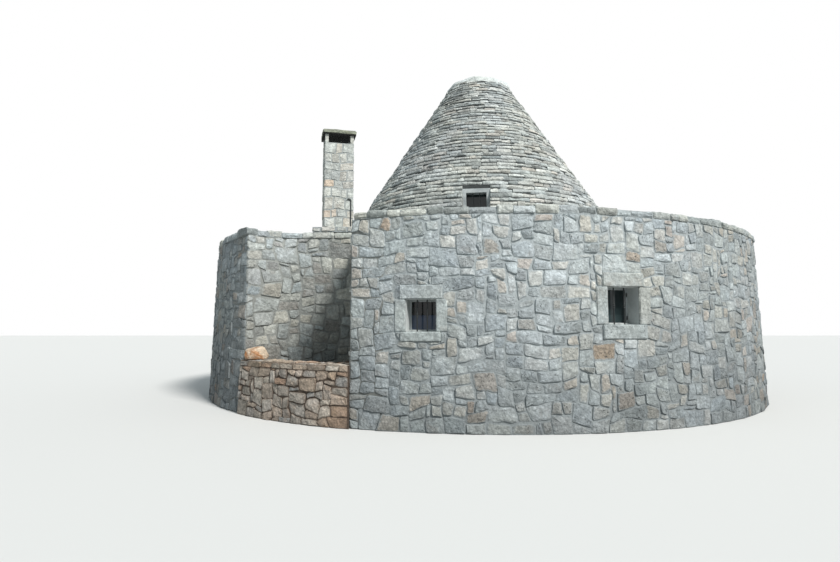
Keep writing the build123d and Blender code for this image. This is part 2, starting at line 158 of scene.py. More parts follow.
class Shader(Nodes):
    """The nodes of one material, with its colour so far."""

    def __init__(self, name):
        self.material = bpy.data.materials.new(name)
        self.material.use_nodes = True
        super().__init__(self.material.node_tree)
        self.surface = self.tree.nodes["Principled BSDF"]
        self.place = self.add("TexCoord").outputs["Object"]
        self.colour = (255, 255, 255)

    def stretch(self, *factors):
        """Object coordinates scaled along each axis."""
        inputs = {0: self.place, 1: Vector(factors)}
        return self.add("VectorMath", inputs, operation="MULTIPLY").outputs[0]

    def warped(self, size, scale):
        """Object coordinates pushed about, so that cells lose their straight edges."""
        push = self.add("TexNoise", {"Vector": self.place, "Scale": scale, "Detail": 2})
        shift = self.add("VectorMath", {0: push.outputs["Color"], "Scale": size}, operation="SCALE")
        return self.add("VectorMath", {0: self.place, 1: shift.outputs[0]}, operation="ADD").outputs[0]

    def noise(self, scale, detail=4, rough=0.55, warp=0.0, place=None):
        inputs = dict(Scale=scale, Detail=detail, Roughness=rough, Distortion=warp)
        return self.add("TexNoise", dict(inputs, Vector=place or self.place)).outputs["Fac"]

    def cells(self, scale, place=None, output="Distance", feature="F1"):
        inputs = {"Vector": place or self.place, "Scale": scale}
        return self.add("TexVoronoi", inputs, feature=feature).outputs[output]

    def axis(self, name):
        return self.add("SeparateXYZ", {"Vector": self.place}).outputs[name]

    def tint(self):
        """The four values that each stone's points carry."""
        tint = self.add("Attribute", attribute_name="tint").outputs
        parts = self.add("SeparateColor", {"Color": tint["Color"]}).outputs
        return parts["Red"], parts["Green"], parts["Blue"], tint["Alpha"]

    def ramp(self, factor, *stops):
        """Colours or grey levels by position along the ramp."""
        node = self.add("ValToRGB", {"Fac": factor})
        elements = node.color_ramp.elements
        for _ in stops[2:]:
            elements.new(1.0)
        for element, (position, colour) in zip(elements, stops):
            element.position = position
            element.color = linear(colour) if isinstance(colour, tuple) else (colour, colour, colour, 1)
        return node.outputs["Color"]

    def blend(self, factor, other, mode="MIX"):
        inputs = {0: factor, 6: self.colour, 7: other}
        self.colour = self.add("Mix", inputs, data_type="RGBA", blend_type=mode).outputs[2]

    def shade(self, factor, *stops):
        """Multiplies the colour by the grey levels of a ramp."""
        self.blend(1.0, self.ramp(factor, *stops), "MULTIPLY")

    def total(self, start, *parts):
        """A start value plus each part times its share."""
        for part, share in parts:
            start = self.math("MULTIPLY_ADD", part, share, start)
        return start

    def finish(self, roughness, height=None, strength=0.5, depth=0.01):
        sockets = self.surface.inputs
        self.put(sockets, {"Base Color": self.colour, "Roughness": roughness})
        if height is not None:
            bump = self.add("Bump", {"Height": height, "Strength": strength, "Distance": depth})
            self.put(sockets, {"Normal": bump.outputs["Normal"]})
        return self.material


DAMP_AND_SHADE_STEPS = [(0.0, 1.0), (0.3, 0.76), (0.54, 0.52), (0.84, 0.17), (1.0, 0.0)]


def damp_and_painted_shade(shader, damp_and_shade, painted_side_shade):
    """Darkens the colour towards the foot, partly damp staining and partly painted shade, as
    (amount, level above which it is dry), and paints shade along the wall, as (near, far, lowest
    level) from the middle of the house."""
    if damp_and_shade:
        amount, dry_level = damp_and_shade
        sway = shader.noise(1.4, 4)
        dry = shader.total(0.4 - 0.36 * dry_level, (shader.axis("Z"), 0.36), (sway, 1.2))
        shader.shade(dry, *[(level, 1 - amount * share) for level, share in DAMP_AND_SHADE_STEPS])
    if painted_side_shade:
        near, far, lowest = painted_side_shade
        aside = shader.math("ABSOLUTE", shader.axis("X"))
        share = shader.total(-near / (far - near), (aside, 1 / (far - near)))
        shader.shade(share, (0.0, 1.0), (0.55, 0.4 + lowest * 0.6), (1.0, lowest))


def limestone(
    name, palette, warm=(196, 160, 124), warmth=0.3, grime=0.3, pits=0.6, spread=0.24,
    joint=(172, 180, 181), smear=0.85, relief=1.0, ochre=0.0, damp_and_shade=None, painted_side_shade=None,
):
    """Weathered stone, coloured stone by stone from the mesh's tint, with joint colour that creeps over
    its edges. Where asked it is darker towards the foot, partly damp and partly painted shade, and
    carries painted shade towards the flanks."""
    shader = Shader(name)
    pick, value, kind, worn = shader.tint()
    stops = [(k / (len(palette) - 1), tone) for k, tone in enumerate(palette)]
    shader.colour = shader.ramp(pick, *stops)
    shader.shade(value, (0.0, 1 - spread), (0.5, 1.0), (1.0, 1 + spread * 0.35))
    bleached = shader.ramp(shader.noise(0.8, 3), (0.42, 0.0), (0.58, 1.0))
    shader.blend(bleached, (255, 254, 249), "MULTIPLY")
    if ochre:
        shader.blend(shader.ramp(kind, (0.984, 0.0), (0.988, ochre)), (208, 174, 140))

    # Patches a hand wide, and a warmer stain on some of the stones
    patches = shader.noise(9, 4, 0.6, 0.5)
    shader.shade(patches, (0.32, 0.74), (0.66, 1.17))
    stain = shader.ramp(shader.noise(5, 5, 0.62, 0.8), (0.5, 0.0), (0.64, 1.0))
    often = shader.ramp(kind, (0.45, 0.05 * warmth), (0.9, warmth))
    shader.blend(shader.math("MULTIPLY", stain, often), warm)

    # Broken faces, lighter in their middles with painted shade towards their hollow edges, grey growth,
    # grain and small dark pits, more of them on some stones
    hewn_and_shade = shader.cells(17, shader.warped(0.06, 11))
    shader.shade(hewn_and_shade, (0.1, 1.09), (0.75, 0.84))
    shader.blend(shader.ramp(shader.noise(19, 8, 0.78), (0.5, 0.0), (0.64, grime)), (116, 123, 122))
    shader.shade(shader.noise(44, 7, 0.78), (0.36, 0.76), (0.64, 1.18))
    pitted = shader.ramp(value, (0.2, 1.0), (0.6, 0.25))
    pit = shader.ramp(shader.noise(38, 4, 0.62, 0.3), (0.34, 1.0), (0.43, 0.0))
    pit = shader.math("MULTIPLY", pit, pitted)
    shader.blend(shader.math("MULTIPLY", pit, pits), (84, 90, 91))

    # Joint colour creeps in over the edges where the stone is not worn clean; on the cone this dark
    # joint colour is painted shade
    creep, slurry = shader.noise(24, 5, 0.7), shader.noise(2.6, 3)
    clean = shader.total(0.32, (worn, 1.0), (creep, -1.15), (slurry, -0.7))
    shader.blend(shader.ramp(clean, (0.0, smear), (0.16, 0.0)), joint)

    # Darker towards the foot, partly damp and partly painted shade, and painted shade towards the flanks
    damp_and_painted_shade(shader, damp_and_shade, painted_side_shade)
    parts = ((patches, 0.5), (hewn_and_shade, -0.3), (shader.noise(26, 8, 0.75), 0.42), (pit, -0.1))
    height = shader.total(0.0, *[(part, share * relief) for part, share in parts])
    return shader.finish(0.93, height, 0.9, 0.04)


def mortar(name, light, dark, scale=30, damp_and_shade=None, painted_side_shade=None):
    """Sandy joint fill with grit and small hollows."""
    shader = Shader(name)
    sand = shader.noise(scale, 8, 0.7)
    shader.colour = shader.ramp(sand, (0.3, dark), (0.68, light))
    shader.shade(shader.noise(3.0, 5, 0.6), (0.3, 0.8), (0.7, 1.08))
    # Darker towards the foot, partly damp and partly painted shade, and painted shade towards the flanks
    damp_and_painted_shade(shader, damp_and_shade, painted_side_shade)
    return shader.finish(0.95, sand, 0.8, 0.012)


def plaster(name, light, dark, bump=0.35):
    """Trowelled lime coat, a little uneven and stained."""
    shader = Shader(name)
    sweep, sand = shader.noise(5, 5, 0.6, 0.5), shader.noise(120, 3, 0.6)
    shader.colour = shader.ramp(sweep, (0.3, dark), (0.65, light))
    shader.shade(sand, (0.3, 0.93), (0.7, 1.04))
    return shader.finish(0.9, shader.total(0.0, (sweep, 1.0), (sand, 0.12)), bump, 0.01)


def iron(name):
    """Wrought bars, dark paint with rust coming through."""
    shader = Shader(name)
    flakes = shader.noise(60, 6, 0.7)
    shader.colour = shader.ramp(flakes, (0.4, (28, 33, 35)), (0.66, (44, 49, 50)), (0.78, (92, 96, 92)))
    return shader.finish(shader.ramp(flakes, (0.4, 0.45), (0.7, 0.8)), flakes)


def painted_wood(name, paint, worn):
    shader = Shader(name)
    fibres = shader.noise(14, 6, 0.6, place=shader.stretch(6, 6, 0.5))
    shader.colour = shader.ramp(fibres, (0.32, worn), (0.5, paint))
    return shader.finish(0.55, fibres, 0.35, 0.004)


def oiled_wood(name, light, dark):
    """Old planks with the grain running upright, each with its own tone."""
    shader = Shader(name)
    grain = shader.noise(9, 9, 0.65, 1.2, place=shader.stretch(9, 9, 0.45))
    shader.colour = shader.ramp(grain, (0.3, dark), (0.6, light))
    shader.shade(shader.tint()[1], (0.0, 0.72), (1.0, 1.15))
    return shader.finish(0.6, grain, 0.5, 0.005)


def window_glass(name, upper, lower, level):
    """Old panes: dark above, painted shade of the room behind, with a lighter painted reflection below
    the level.
    """
    shader = Shader(name)
    # Painted reflection below the level, painted shade of the room above it
    over = shader.total(0.5 - level, (shader.axis("Z"), 1.0))
    shader.colour = lower
    shader.blend(shader.ramp(over, (0.495, 0.0), (0.505, 1.0)), upper)
    shader.shade(shader.noise(6, 6, 0.6), (0.3, 0.8), (0.7, 1.2))
    shader.put(shader.surface.inputs, {"Specular IOR Level": 0.4})
    return shader.finish(0.1, shader.noise(2.5, 1, 0.4), 0.05, 0.01)


def earth(name, light, dark):
    shader = Shader(name)
    clods = shader.noise(26, 8, 0.7)
    shader.colour = shader.ramp(clods, (0.3, dark), (0.7, light))
    return shader.finish(0.97, clods, 1.0, 0.02)


def paving(name, light, dark):
    """Worn slabs of the inside floor, each with its own tone."""
    shader = Shader(name)
    seams = shader.cells(2.4, feature="DISTANCE_TO_EDGE")
    slabs = shader.add("SeparateColor", {"Color": shader.cells(2.4, output="Color")})
    shader.colour = shader.ramp(slabs.outputs["Red"], (0.0, dark), (1.0, light))
    shader.shade(shader.noise(12, 6), (0.3, 0.8), (0.7, 1.1))
    shader.shade(seams, (0.0, 0.5), (0.03, 1.0))
    return shader.finish(0.8, shader.ramp(seams, (0.0, 0.0), (0.05, 1.0)), 0.5, 0.01)


WALL_TONES = [
    (226, 235, 238), (216, 225, 228), (208, 219, 224), (226, 230, 229), (204, 214, 219), (216, 225, 228),
    (224, 225, 220), (208, 215, 217), (200, 211, 217), (224, 232, 235), (224, 221, 213), (216, 209, 203),
]
# Lighter and creamier than the drum's tones: partly paler stone, partly painted sunlight on the recess
RECESS_TONES_WITH_PAINTED_SUN = [
    (242, 244, 238), (220, 229, 231), (246, 246, 238), (208, 220, 225),
    (232, 229, 220), (218, 227, 230), (214, 212, 208), (200, 211, 217),
]
CONE_TONES = [
    (232, 237, 236), (212, 219, 220), (240, 243, 240), (196, 204, 206),
    (222, 223, 218), (186, 195, 197), (228, 225, 219),
]
PLANTER_TONES = [
    (218, 208, 196), (196, 186, 174), (226, 218, 208), (210, 190, 172),
    (188, 188, 186), (218, 196, 174), (184, 172, 160), (208, 176, 152),
]
BLOCK_TONES = [(230, 235, 233), (214, 220, 219), (226, 222, 214), (208, 214, 214), (236, 238, 234)]
OCHRE_TONES = [(232, 214, 196), (236, 226, 214)]
BOULDER_TONES = [(226, 204, 180), (232, 214, 194)]
COPING_TONES = [
    (212, 221, 223), (190, 200, 202), (222, 226, 222), (204, 207, 201), (170, 179, 181), (214, 222, 226),
]
DRESSED_TONES = [(202, 210, 212), (192, 201, 204), (206, 210, 208)]
CAP_TONES = [(238, 246, 248), (244, 250, 250)]
LICHEN_TONES = [(178, 182, 166), (160, 166, 152)]
# Darker towards the foot, partly damp and partly painted shade, and painted shade towards both flanks of
# the drum
WALL_DAMP_AND_SHADE = dict(damp_and_shade=(0.46, 2.5), painted_side_shade=(1.2, 6.6, 0.66))
# In the recess, a painted shadow of the drum's corner deepens towards its side
RECESS_DAMP_AND_SHADE = dict(damp_and_shade=(0.48, 3.3), painted_side_shade=(4.8, 3.2, 0.8))

wall_stone = limestone(
    "wall_stone", WALL_TONES, warmth=0.12, pits=0.95, spread=0.25, joint=(184, 192, 194), ochre=0.45,
    **WALL_DAMP_AND_SHADE,
)
recess_stone = limestone(
    "recess_stone", RECESS_TONES_WITH_PAINTED_SUN, warmth=0.12, spread=0.28, joint=(186, 190, 186), ochre=0.5,
    **RECESS_DAMP_AND_SHADE,
)
# The cone's dark joint colour is painted shade on the slabs' edges and on their deep, hidden parts
cone_stone = limestone(
    "cone_stone", CONE_TONES, warmth=0.05, grime=0.22, joint=(70, 72, 70), smear=0.55, pits=0.4
)
# The planter darkens towards its foot: partly damp, partly painted shade
planter_stone = limestone(
    "planter_stone", PLANTER_TONES, grime=0.15, joint=(112, 98, 86), smear=0.6, damp_and_shade=(0.32, 1.3)
)
block_stone = limestone(
    "block_stone", BLOCK_TONES, warmth=0.2, grime=0.16, spread=0.08, joint=(206, 210, 208)
)
ochre_stone = limestone("ochre_stone", OCHRE_TONES, warmth=0.35, grime=0.12, spread=0.08)
boulder_stone = limestone("boulder_stone", BOULDER_TONES, warm=(194, 132, 82), warmth=1.0, grime=0.15)
coping_stone = limestone(
    "coping_stone", COPING_TONES, warmth=0.08, grime=0.35, spread=0.26, joint=(150, 158, 158)
)
dressed_stone = limestone(
    "dressed_stone", DRESSED_TONES, warmth=0.12, grime=0.28, pits=0.7, spread=0.08, relief=0.8
)
cap_stone = limestone("cap_stone", CAP_TONES, warmth=0.03, grime=0.1, pits=0.2, spread=0.03)
lichen_slab = limestone(
    "lichen_slab", LICHEN_TONES, warm=(172, 168, 118), warmth=0.4, grime=0.5, pits=0.9
)
flagstone = limestone("flagstone", COPING_TONES, joint=(140, 138, 130))
# The mortars darken as the stones do: partly damp and partly painted shade, with painted shade on the
# flanks
joint_mortar = mortar("joint_mortar", (204, 211, 212), (162, 170, 172), **WALL_DAMP_AND_SHADE)
recess_joint = mortar("recess_joint", (202, 204, 198), (154, 158, 156), **RECESS_DAMP_AND_SHADE)
# Dark fill of the cone's core, seen in the open beds between the slabs: painted shade
painted_gap_shade = mortar("painted_gap_shade", (84, 88, 88), (44, 47, 47), 18)
# Soot, made darker still as painted shade under the chimney's slab
soot_and_painted_shade = mortar("soot_and_painted_shade", (34, 34, 34), (18, 18, 19), 12)
brown_joint = mortar("brown_joint", (110, 96, 84), (60, 51, 45), 18)
pale_joint = mortar("pale_joint", (198, 203, 202), (158, 165, 165))
limewash = plaster("limewash", (226, 224, 216), (204, 200, 190))
reveal_plaster = plaster("reveal_plaster", (212, 216, 214), (190, 195, 194))
rough_plaster = plaster("rough_plaster", (206, 212, 212), (158, 165, 167), 0.8)
iron_bars = iron("iron_bars")
frame_paint = painted_wood("frame_paint", (196, 201, 202), (160, 163, 162))
# Panes painted dark as the room's shade above the level, with a painted reflection below it, bluish on
# the left window
glass_pane = window_glass("glass_pane", (42, 54, 56), (50, 63, 65), 1.8)
glass_painted_reflection = window_glass("glass_painted_reflection", (24, 29, 30), (64, 78, 100), 1.79)
door_wood = oiled_wood("door_wood", (128, 96, 66), (74, 52, 36))
soil_earth = earth("soil_earth", (122, 94, 72), (62, 44, 33))
floor_paving = paving("floor_paving", (204, 198, 186), (158, 150, 138))


# Meshes


def link(name, data):
    """A new object of the scene."""
    thing = bpy.data.objects.new(name, data)
    bpy.context.scene.collection.objects.link(thing)
    return thing


def seat(name, mesh, material):
    """A piece that rides on the house."""
    mesh.materials.append(material)
    piece = link(name, mesh)
    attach(piece, "root")
    return piece


def make_piece(name, points, faces, material, tints=None, crease=40):
    mesh = bpy.data.meshes.new(name)
    mesh.from_pydata([tuple(map(float, point)) for point in points], [], faces)
    if tints is not None:
        layer = mesh.color_attributes.new("tint", "FLOAT_COLOR", "POINT")
        layer.data.foreach_set("color", np.array(tints, np.float32).ravel())
    mesh.polygons.foreach_set("use_smooth", [True] * len(mesh.polygons))
    mesh.set_sharp_from_angle(angle=radians(crease))
    mesh.update()
    return seat(name, mesh, material)


class Stones:
    """Gathers the stones of one piece."""

    def __init__(self, seed=0):
        self.random = Random(seed)
        self.points, self.faces, self.tints = [], [], []

    def noise(self, count, size):
        return np.array([self.random.uniform(-size, size) for _ in range(count)])

    def add(self, points, faces, wear=None, tint=None):
        start = len(self.points)
        wear = wear or [1.0] * len(points)
        tint = tint or [self.random.random() for _ in range(3)]
        self.points.extend(points)
        self.faces.extend([tuple(start + k for k in face) for face in faces])
        self.tints.extend([(*tint, level) for level in wear])

    def make(self, name, material, slot, crease=40):
        return make_piece(name, self.points, self.faces, material, self.tints, crease)


def inset(outline, distance):
    """An anticlockwise outline moved inward, corner by corner."""
    ahead = np.roll(outline, -1, axis=0) - outline
    ahead /= np.maximum(np.linalg.norm(ahead, axis=1, keepdims=True), 1e-6)
    normal = np.stack([-ahead[:, 1], ahead[:, 0]], axis=1)
    normal = normal + np.roll(normal, 1, axis=0)
    length = np.linalg.norm(normal, axis=1, keepdims=True)
    return outline + normal / np.maximum(length, 0.5) ** 2 * 1.8 * distance


def ring_faces(rings, count, looped=False, strips=False, hub=False):
    """Quads between rings, or strips, of points that follow one another, and if asked
    a fan from the last ring to the point after it."""
    faces = []
    for ring in range(rings - (not looped)):
        low, high = ring * count, (ring + 1) % rings * count
        for k in range(count - strips):
            after = (k + 1) % count
            faces.append((low + k, low + after, high + after, high + k))
    last = (rings - 1) * count
    return faces + [(last + k, last + (k + 1) % count, last + count) for k in range(count * hub)]


def circle(count):
    """Even turns round a circle."""
    return 2 * pi * np.arange(count) / count


def face_stone(stones, place, outline, rise, joint, rough=0.03, depth=0.03):
    """A stone seen by its face: sides, worn edge, and a face that a few flat breaks
    cut back. The breaks and the roughness grow with the stone."""
    rand = stones.random
    outline = np.array(outline)
    count = len(outline)
    middle = outline.mean(axis=0)
    extent = np.ptp(outline, axis=0)
    size = sqrt(extent[0] * extent[1])
    joint = min(joint, 0.22 * extent.min())
    rim, edge = inset(outline, joint / 2), inset(outline, joint / 2 + WORN_EDGE)
    inner = middle + (edge - middle) * rand.uniform(0.62, 0.78)
    core = middle + (edge - middle) * rand.uniform(0.28, 0.42)
    slope = np.array([rand.gauss(0, 0.05), rand.gauss(0, 0.05)])
    breaks = []
    for _ in range(3):
        turn = rand.uniform(0, 2 * pi)
        normal = np.array([cos(turn), sin(turn)])
        breaks.append((normal, size * rand.uniform(0.16, 0.4), rand.uniform(0.08, 0.4)))
    steps = [
        (rim, -depth, 0.0, 0.0),
        (rim, rise * 0.15, 0.2, 0.3),
        (edge, rise * 0.85, 0.6, 0.6),
        (inner, rise, 1.0, 0.8),
        (core, rise * 1.05, 1.0, 0.35),
        (middle[None, :], rise * 1.05, 1.0, 0.15),
    ]
    points, wear = [], []
    for ring, out, level, ripple in steps:
        away = ring - middle
        lift = out + stones.noise(len(ring), rough * size * ripple)
        if level >= 0.6:
            lift = lift + away @ slope
            for normal, start, steep in breaks:
                lift = lift - steep * np.maximum(away @ normal - start, 0)
            lift = np.maximum(lift, rise * 0.25)
        points.extend(place(ring[:, 0], ring[:, 1], lift))
        wear.extend([level] * len(ring))
    stones.add(points, ring_faces(len(steps) - 1, count, hub=True), wear)


# How often each size of stone is tried, in cells along the wall and up
RUBBLE_MIX = [
    ((3, 2), 22), ((2, 2), 17), ((4, 2), 12), ((3, 3), 9), ((4, 3), 9), ((5, 3), 4),
    ((2, 3), 5), ((5, 2), 4), ((3, 1), 4), ((2, 1), 6), ((1, 2), 2),
]
PLANTER_MIX = [
    ((2, 1), 8), ((3, 2), 12), ((2, 2), 12), ((4, 2), 7), ((3, 1), 6), ((1, 2), 3),
    ((4, 3), 4), ((3, 3), 4),
]
PLANTER_TOP_MIX = [((2, 1), 6), ((3, 1), 10), ((4, 1), 5)]
FLAG_MIX = [((2, 2), 10), ((3, 2), 10), ((2, 1), 4), ((3, 3), 4), ((1, 1), 3), ((1, 2), 3)]
TRIES, LAST_TRIES = 14, [(2, 2), (2, 1), (1, 2), (1, 1)]
SMOOTHING = 24  # rounds that spread the pull of a hole over the grid
WAVES = ((6, 0.0175, 4), (15, 0.035 / 4.5, 6))  # steepest, size and number of the grid's waves


def bent_grid(rand, spans, cell, holes, jitter):
    """Corners that stones share, drawn onto the edges of the holes, and cells taken."""
    counts = [max(least, round((end - start) / cell)) for least, (start, end) in zip((2, 1), spans)]
    steps = [(end - start) / count for (start, end), count in zip(spans, counts)]
    lines = [np.linspace(*span, count + 1) for span, count in zip(spans, counts)]
    grid = np.stack(np.meshgrid(*lines, indexing="ij"))
    draws = np.random.default_rng(rand.randrange(1 << 30))
    taken = np.zeros(counts, bool)
    held, pulls, bends = np.zeros(grid.shape, bool), np.zeros(grid.shape), np.zeros(grid.shape)
    held[0, [0, -1]] = True
    held[1, :, [0, -1]] = True
    for left, right, low, high in holes:
        edges = ((left, right), (low, high))
        (a, b), (c, d) = marks = [
            [max(round((value - span[0]) / step), 0) for value in pair]
            for pair, span, step in zip(edges, spans, steps)
        ]
        taken[a:b, c:d] = True
        for axis, along in enumerate((slice(c, d + 1), slice(a, b + 1))):
            for mark, value in zip(marks[axis], edges[axis]):
                if 0 < mark < counts[axis]:
                    line = (axis, mark, along) if axis == 0 else (axis, along, mark)
                    pulls[line] = value - grid[line]
                    held[line] = True
    for _ in range(SMOOTHING):
        for pull, fixed in zip(pulls, held):
            wide = np.pad(pull, 1, mode="edge")
            mean = (wide[:-2, 1:-1] + wide[2:, 1:-1] + wide[1:-1, :-2] + wide[1:-1, 2:]) / 4
            pull[~fixed] = mean[~fixed]
    for bend, step in zip(bends, steps):
        for steepest, size, number in WAVES:
            for _ in range(number):
                a, b = draws.uniform(-steepest, steepest, 2)
                bend += size * np.sin(a * grid[0] + b * grid[1] + draws.uniform(0, 6.28))
        bend += draws.uniform(-jitter, jitter, bend.shape) * step
    return np.moveaxis(grid + pulls + np.where(held, 0, bends), 0, -1), taken


def stone_cell(rand, taken, seams, column, row, mix):
    """Right and top of the next stone. It breaks long upright seams and leaves no sliver."""
    columns, rows = taken.shape
    tries = rand.choices(*zip(*mix), k=TRIES)
    for number, (wide, tall) in enumerate(tries + LAST_TRIES):
        right, top = column + wide, row + tall
        if right > columns or top > rows or taken[column:right, row:top].any():
            continue
        free = right < columns and not taken[right, row]
        long_seam = free and row >= 3 and seams[right, row - 3 : row].all()
        sliver = free and (right + 1 == columns or taken[right + 1, row])
        if number >= len(tries) or not (long_seam or sliver):
            return right, top


def rubble(rand, s_range, z_range, cell, holes=(), mix=RUBBLE_MIX, jitter=0.34):
    """Outlines that tile a stretch of wall with stones of one to some fifteen cells.

    All stones share the corners of one bent grid, so their joints stay even. Holes are
    given as left, right, low and high."""
    grid, taken = bent_grid(rand, (s_range, z_range), cell, holes, jitter)
    columns, rows = taken.shape
    seams = np.zeros((columns + 1, rows), bool)
    outlines = []
    for row, column in product(range(rows), range(columns)):
        if taken[column, row]:
            continue
        right, top = stone_cell(rand, taken, seams, column, row, mix)
        taken[column:right, row:top] = True
        seams[[column, right], row:top] = True
        knots = [(column, row), (right, row), (right, top), (column, top)]
        outline = []
        for (a, b), (c, d) in zip(knots, knots[1:] + knots[:1]):
            count = abs(c - a) + abs(d - b)
            first, last = grid[a, b], grid[c, d]
            pull = rand.uniform(0.45, 0.95)
            line = [first]
            for k in range(1, count):
                corner = grid[a + (c - a) * k // count, b + (d - b) * k // count]
                chord = first + (last - first) * k / count
                line.append(corner + (chord - corner) * pull)
            line.append(last)
            cuts = [rand.uniform(0.12, 0.4) * (1 if count > 1 else 0.7) for _ in range(2)]
            if count > 1 and rand.random() < 0.22:
                cuts[rand.randrange(2)] = rand.uniform(0.5, 0.9)
            outline.append(first + (line[1] - first) * cuts[0])
            outline += line[1:-1]
            outline.append(last + (line[-2] - last) * cuts[1])
        outlines.append(outline)
    return outlines


def slab(
    stones, place, start, end, profile, rough, round_off, end_wear=0.8,
    step=0.14, shy=0.03, closed=False, deep_wear=0.35,
):
    """A long stone: a cross-section of (out, height) points run along the wall,
    drawn in and lowered a little at its two ends."""
    profile = np.array(profile)
    across = len(profile)
    length = end - start
    shy = min(shy, length * 0.15)
    count = max(1, round(length / step))
    inside = [start + length * (k + stones.random.uniform(-0.2, 0.2)) / count for k in range(1, count)]
    spots = [start, start + shy, *inside, end - shy, end]
    middle = profile[:, 1].mean()
    tip = stones.random.uniform(-0.02, 0.02) * min(1, 0.5 / length)
    deep = profile[:, 0] < profile[:, 0].max() - 0.05
    points, wear = [], []
    for spot in spots:
        at_end = spot in (start, end)
        out = profile[:, 0] + stones.noise(across, rough) + tip * (spot - start)
        height = profile[:, 1] + stones.noise(across, rough * 0.7)
        if at_end:
            out = out - round_off * (profile[:, 0] > profile[:, 0].min() + 1e-6)
            height = height + (middle - height) * min(0.4, round_off * 8)
        points.extend(place(np.full(across, spot), height, out))
        wear.extend(np.where(deep, deep_wear, end_wear if at_end else 1.0))
    faces = [(a, d, c, b) for a, b, c, d in ring_faces(len(spots), across, strips=not closed)]
    faces.append(tuple(range(across)))
    faces.append(tuple(reversed(range(len(points) - across, len(points)))))
    stones.add(points, faces, wear)


def rough_block(stones, place, low, high, bevel=0.012, rough=0.003, chips=0.006):
    """A squared stone between two corners, with worn edges and hand-cut faces."""
    low, high = np.array(low), np.array(high)
    bevel = min(bevel, (high - low).min() * 0.3)
    lines = []
    for start, end in zip(low, high):
        inner = max(2, min(6, round((end - start) / 0.12) + 1))
        lines.append([start, *np.linspace(start + bevel, end - bevel, inner), end])
    index, points, faces = {}, [], []

    def corner(*key):
        if key not in index:
            point = np.array([line[k] for line, k in zip(lines, key)])
            core = np.clip(point, low + bevel, high - bevel)
            away = point - core
            sides = np.count_nonzero(away)
            wobble = stones.noise(3, rough)
            loss = stones.random.uniform(0, chips) if sides > 1 else 0
            push = bevel * (1, 0.8, 0.7)[sides - 1] - loss
            index[key] = len(points)
            points.append(core + away / np.linalg.norm(away) * push + wobble)
        return index[key]

    last = [len(line) - 1 for line in lines]
    for axis in range(3):
        first, second = (axis + 1) % 3, (axis + 2) % 3
        for side, a, b in product((0, last[axis]), range(last[first]), range(last[second])):
            quad = []
            for da, db in ((0, 0), (1, 0), (1, 1), (0, 1)):
                key = [0, 0, 0]
                key[axis], key[first], key[second] = side, a + da, b + db
                quad.append(corner(*key))
            faces.append(tuple(quad if side else reversed(quad)))
    points = np.array(points)
    stones.add(place(*points.T), faces)


def round_bar(stones, ends, rings):
    """A round bar between two ends, with (share of length, radius) rings."""
    start, end = map(Vector, ends)
    axis = (end - start).normalized()
    side = axis.orthogonal().normalized()
    other = axis.cross(side)
    spokes = [side * cos(turn) + other * sin(turn) for turn in circle(BAR_SIDES)]
    points = [start.lerp(end, share) + spoke * radius for share, radius in rings for spoke in spokes]
    faces = ring_faces(len(rings), BAR_SIDES)
    faces.append(tuple(reversed(range(BAR_SIDES))))
    faces.append(tuple(range(len(points) - BAR_SIDES, len(points))))
    stones.add(points, faces, tint=PLAIN)


# Places on the house: each gives world points for s along the wall, z and out


def stack(x, y, z):
    return np.stack(np.broadcast_arrays(x, y, z), axis=-1)


def polar(reach, angle, z, x=0.0):
    return stack(x + reach * np.cos(angle), reach * np.sin(angle), z)


def face_radius(z):
    return FOOT_RADIUS - BATTER * z


def round_place(proud=0.0):
    """Face of the drum: s is the angle times the foot's radius. Near the recess the
    ends follow its corners, which lean."""

    def place(s, z, out):
        angle = s / FOOT_RADIUS
        for top, foot in (LEFT_CORNER, RIGHT_CORNER):
            middle = (top + foot) / 2
            near = np.clip(1 - np.abs(angle - middle) * FOOT_RADIUS / CORNER_REACH, 0, 1)
            angle = angle + near * (foot + (top - foot) * z / WALL_TOP - middle)
        return polar(face_radius(z) + proud + out, angle, z)

    return place


def side_place(s, z, out):
    """Side of the recess, from its inner corner out to the drum's face."""
    full = np.sqrt(face_radius(z) ** 2 - RECESS_SIDE_X**2) + RECESS_BACK_Y
    return stack(RECESS_SIDE_X - out, RECESS_BACK_Y - s * full / SIDE_LENGTH, z)


def back_place(s, z, out):
    """Back of the recess, from its left corner round the hollow corner to its side."""
    phi = pi / 2 + BEND_TURN - np.clip(s / BEND_RADIUS, 0, BEND_TURN)
    radius = BEND_RADIUS - out
    before = np.minimum(s, 0)
    beyond = np.maximum(s - BEND_TURN * BEND_RADIUS, 0)
    x = BEND_X + radius * np.cos(phi) + beyond + before * cos(BEND_TURN)
    y = RECESS_BACK_Y - BEND_RADIUS + radius * np.sin(phi) + before * sin(BEND_TURN)
    return stack(x, y, z)


SIDE_LENGTH = sqrt(face_radius(0) ** 2 - RECESS_SIDE_X**2) + RECESS_BACK_Y
BACK_LENGTH = BEND_RADIUS * BEND_TURN + RECESS_SIDE_X - BEND_X


def level_place(radius, height):
    """Round level surface: s along the rim, then the way inward, then up."""
    return lambda s, inward, up: polar(radius - inward, s / radius, height + up)


def cone_place(radius):
    return lambda s, z, out: polar(radius + out, s / radius, z, CONE_AXIS_X)


def facing_place(angle, axis_x=0.0):
    """Flat opening: across, up, and out from the axis that it faces away from."""
    c, s = cos(radians(angle)), sin(radians(angle))
    return lambda across, up, out: stack(axis_x + out * c - across * s, out * s + across * c, up)


# Openings


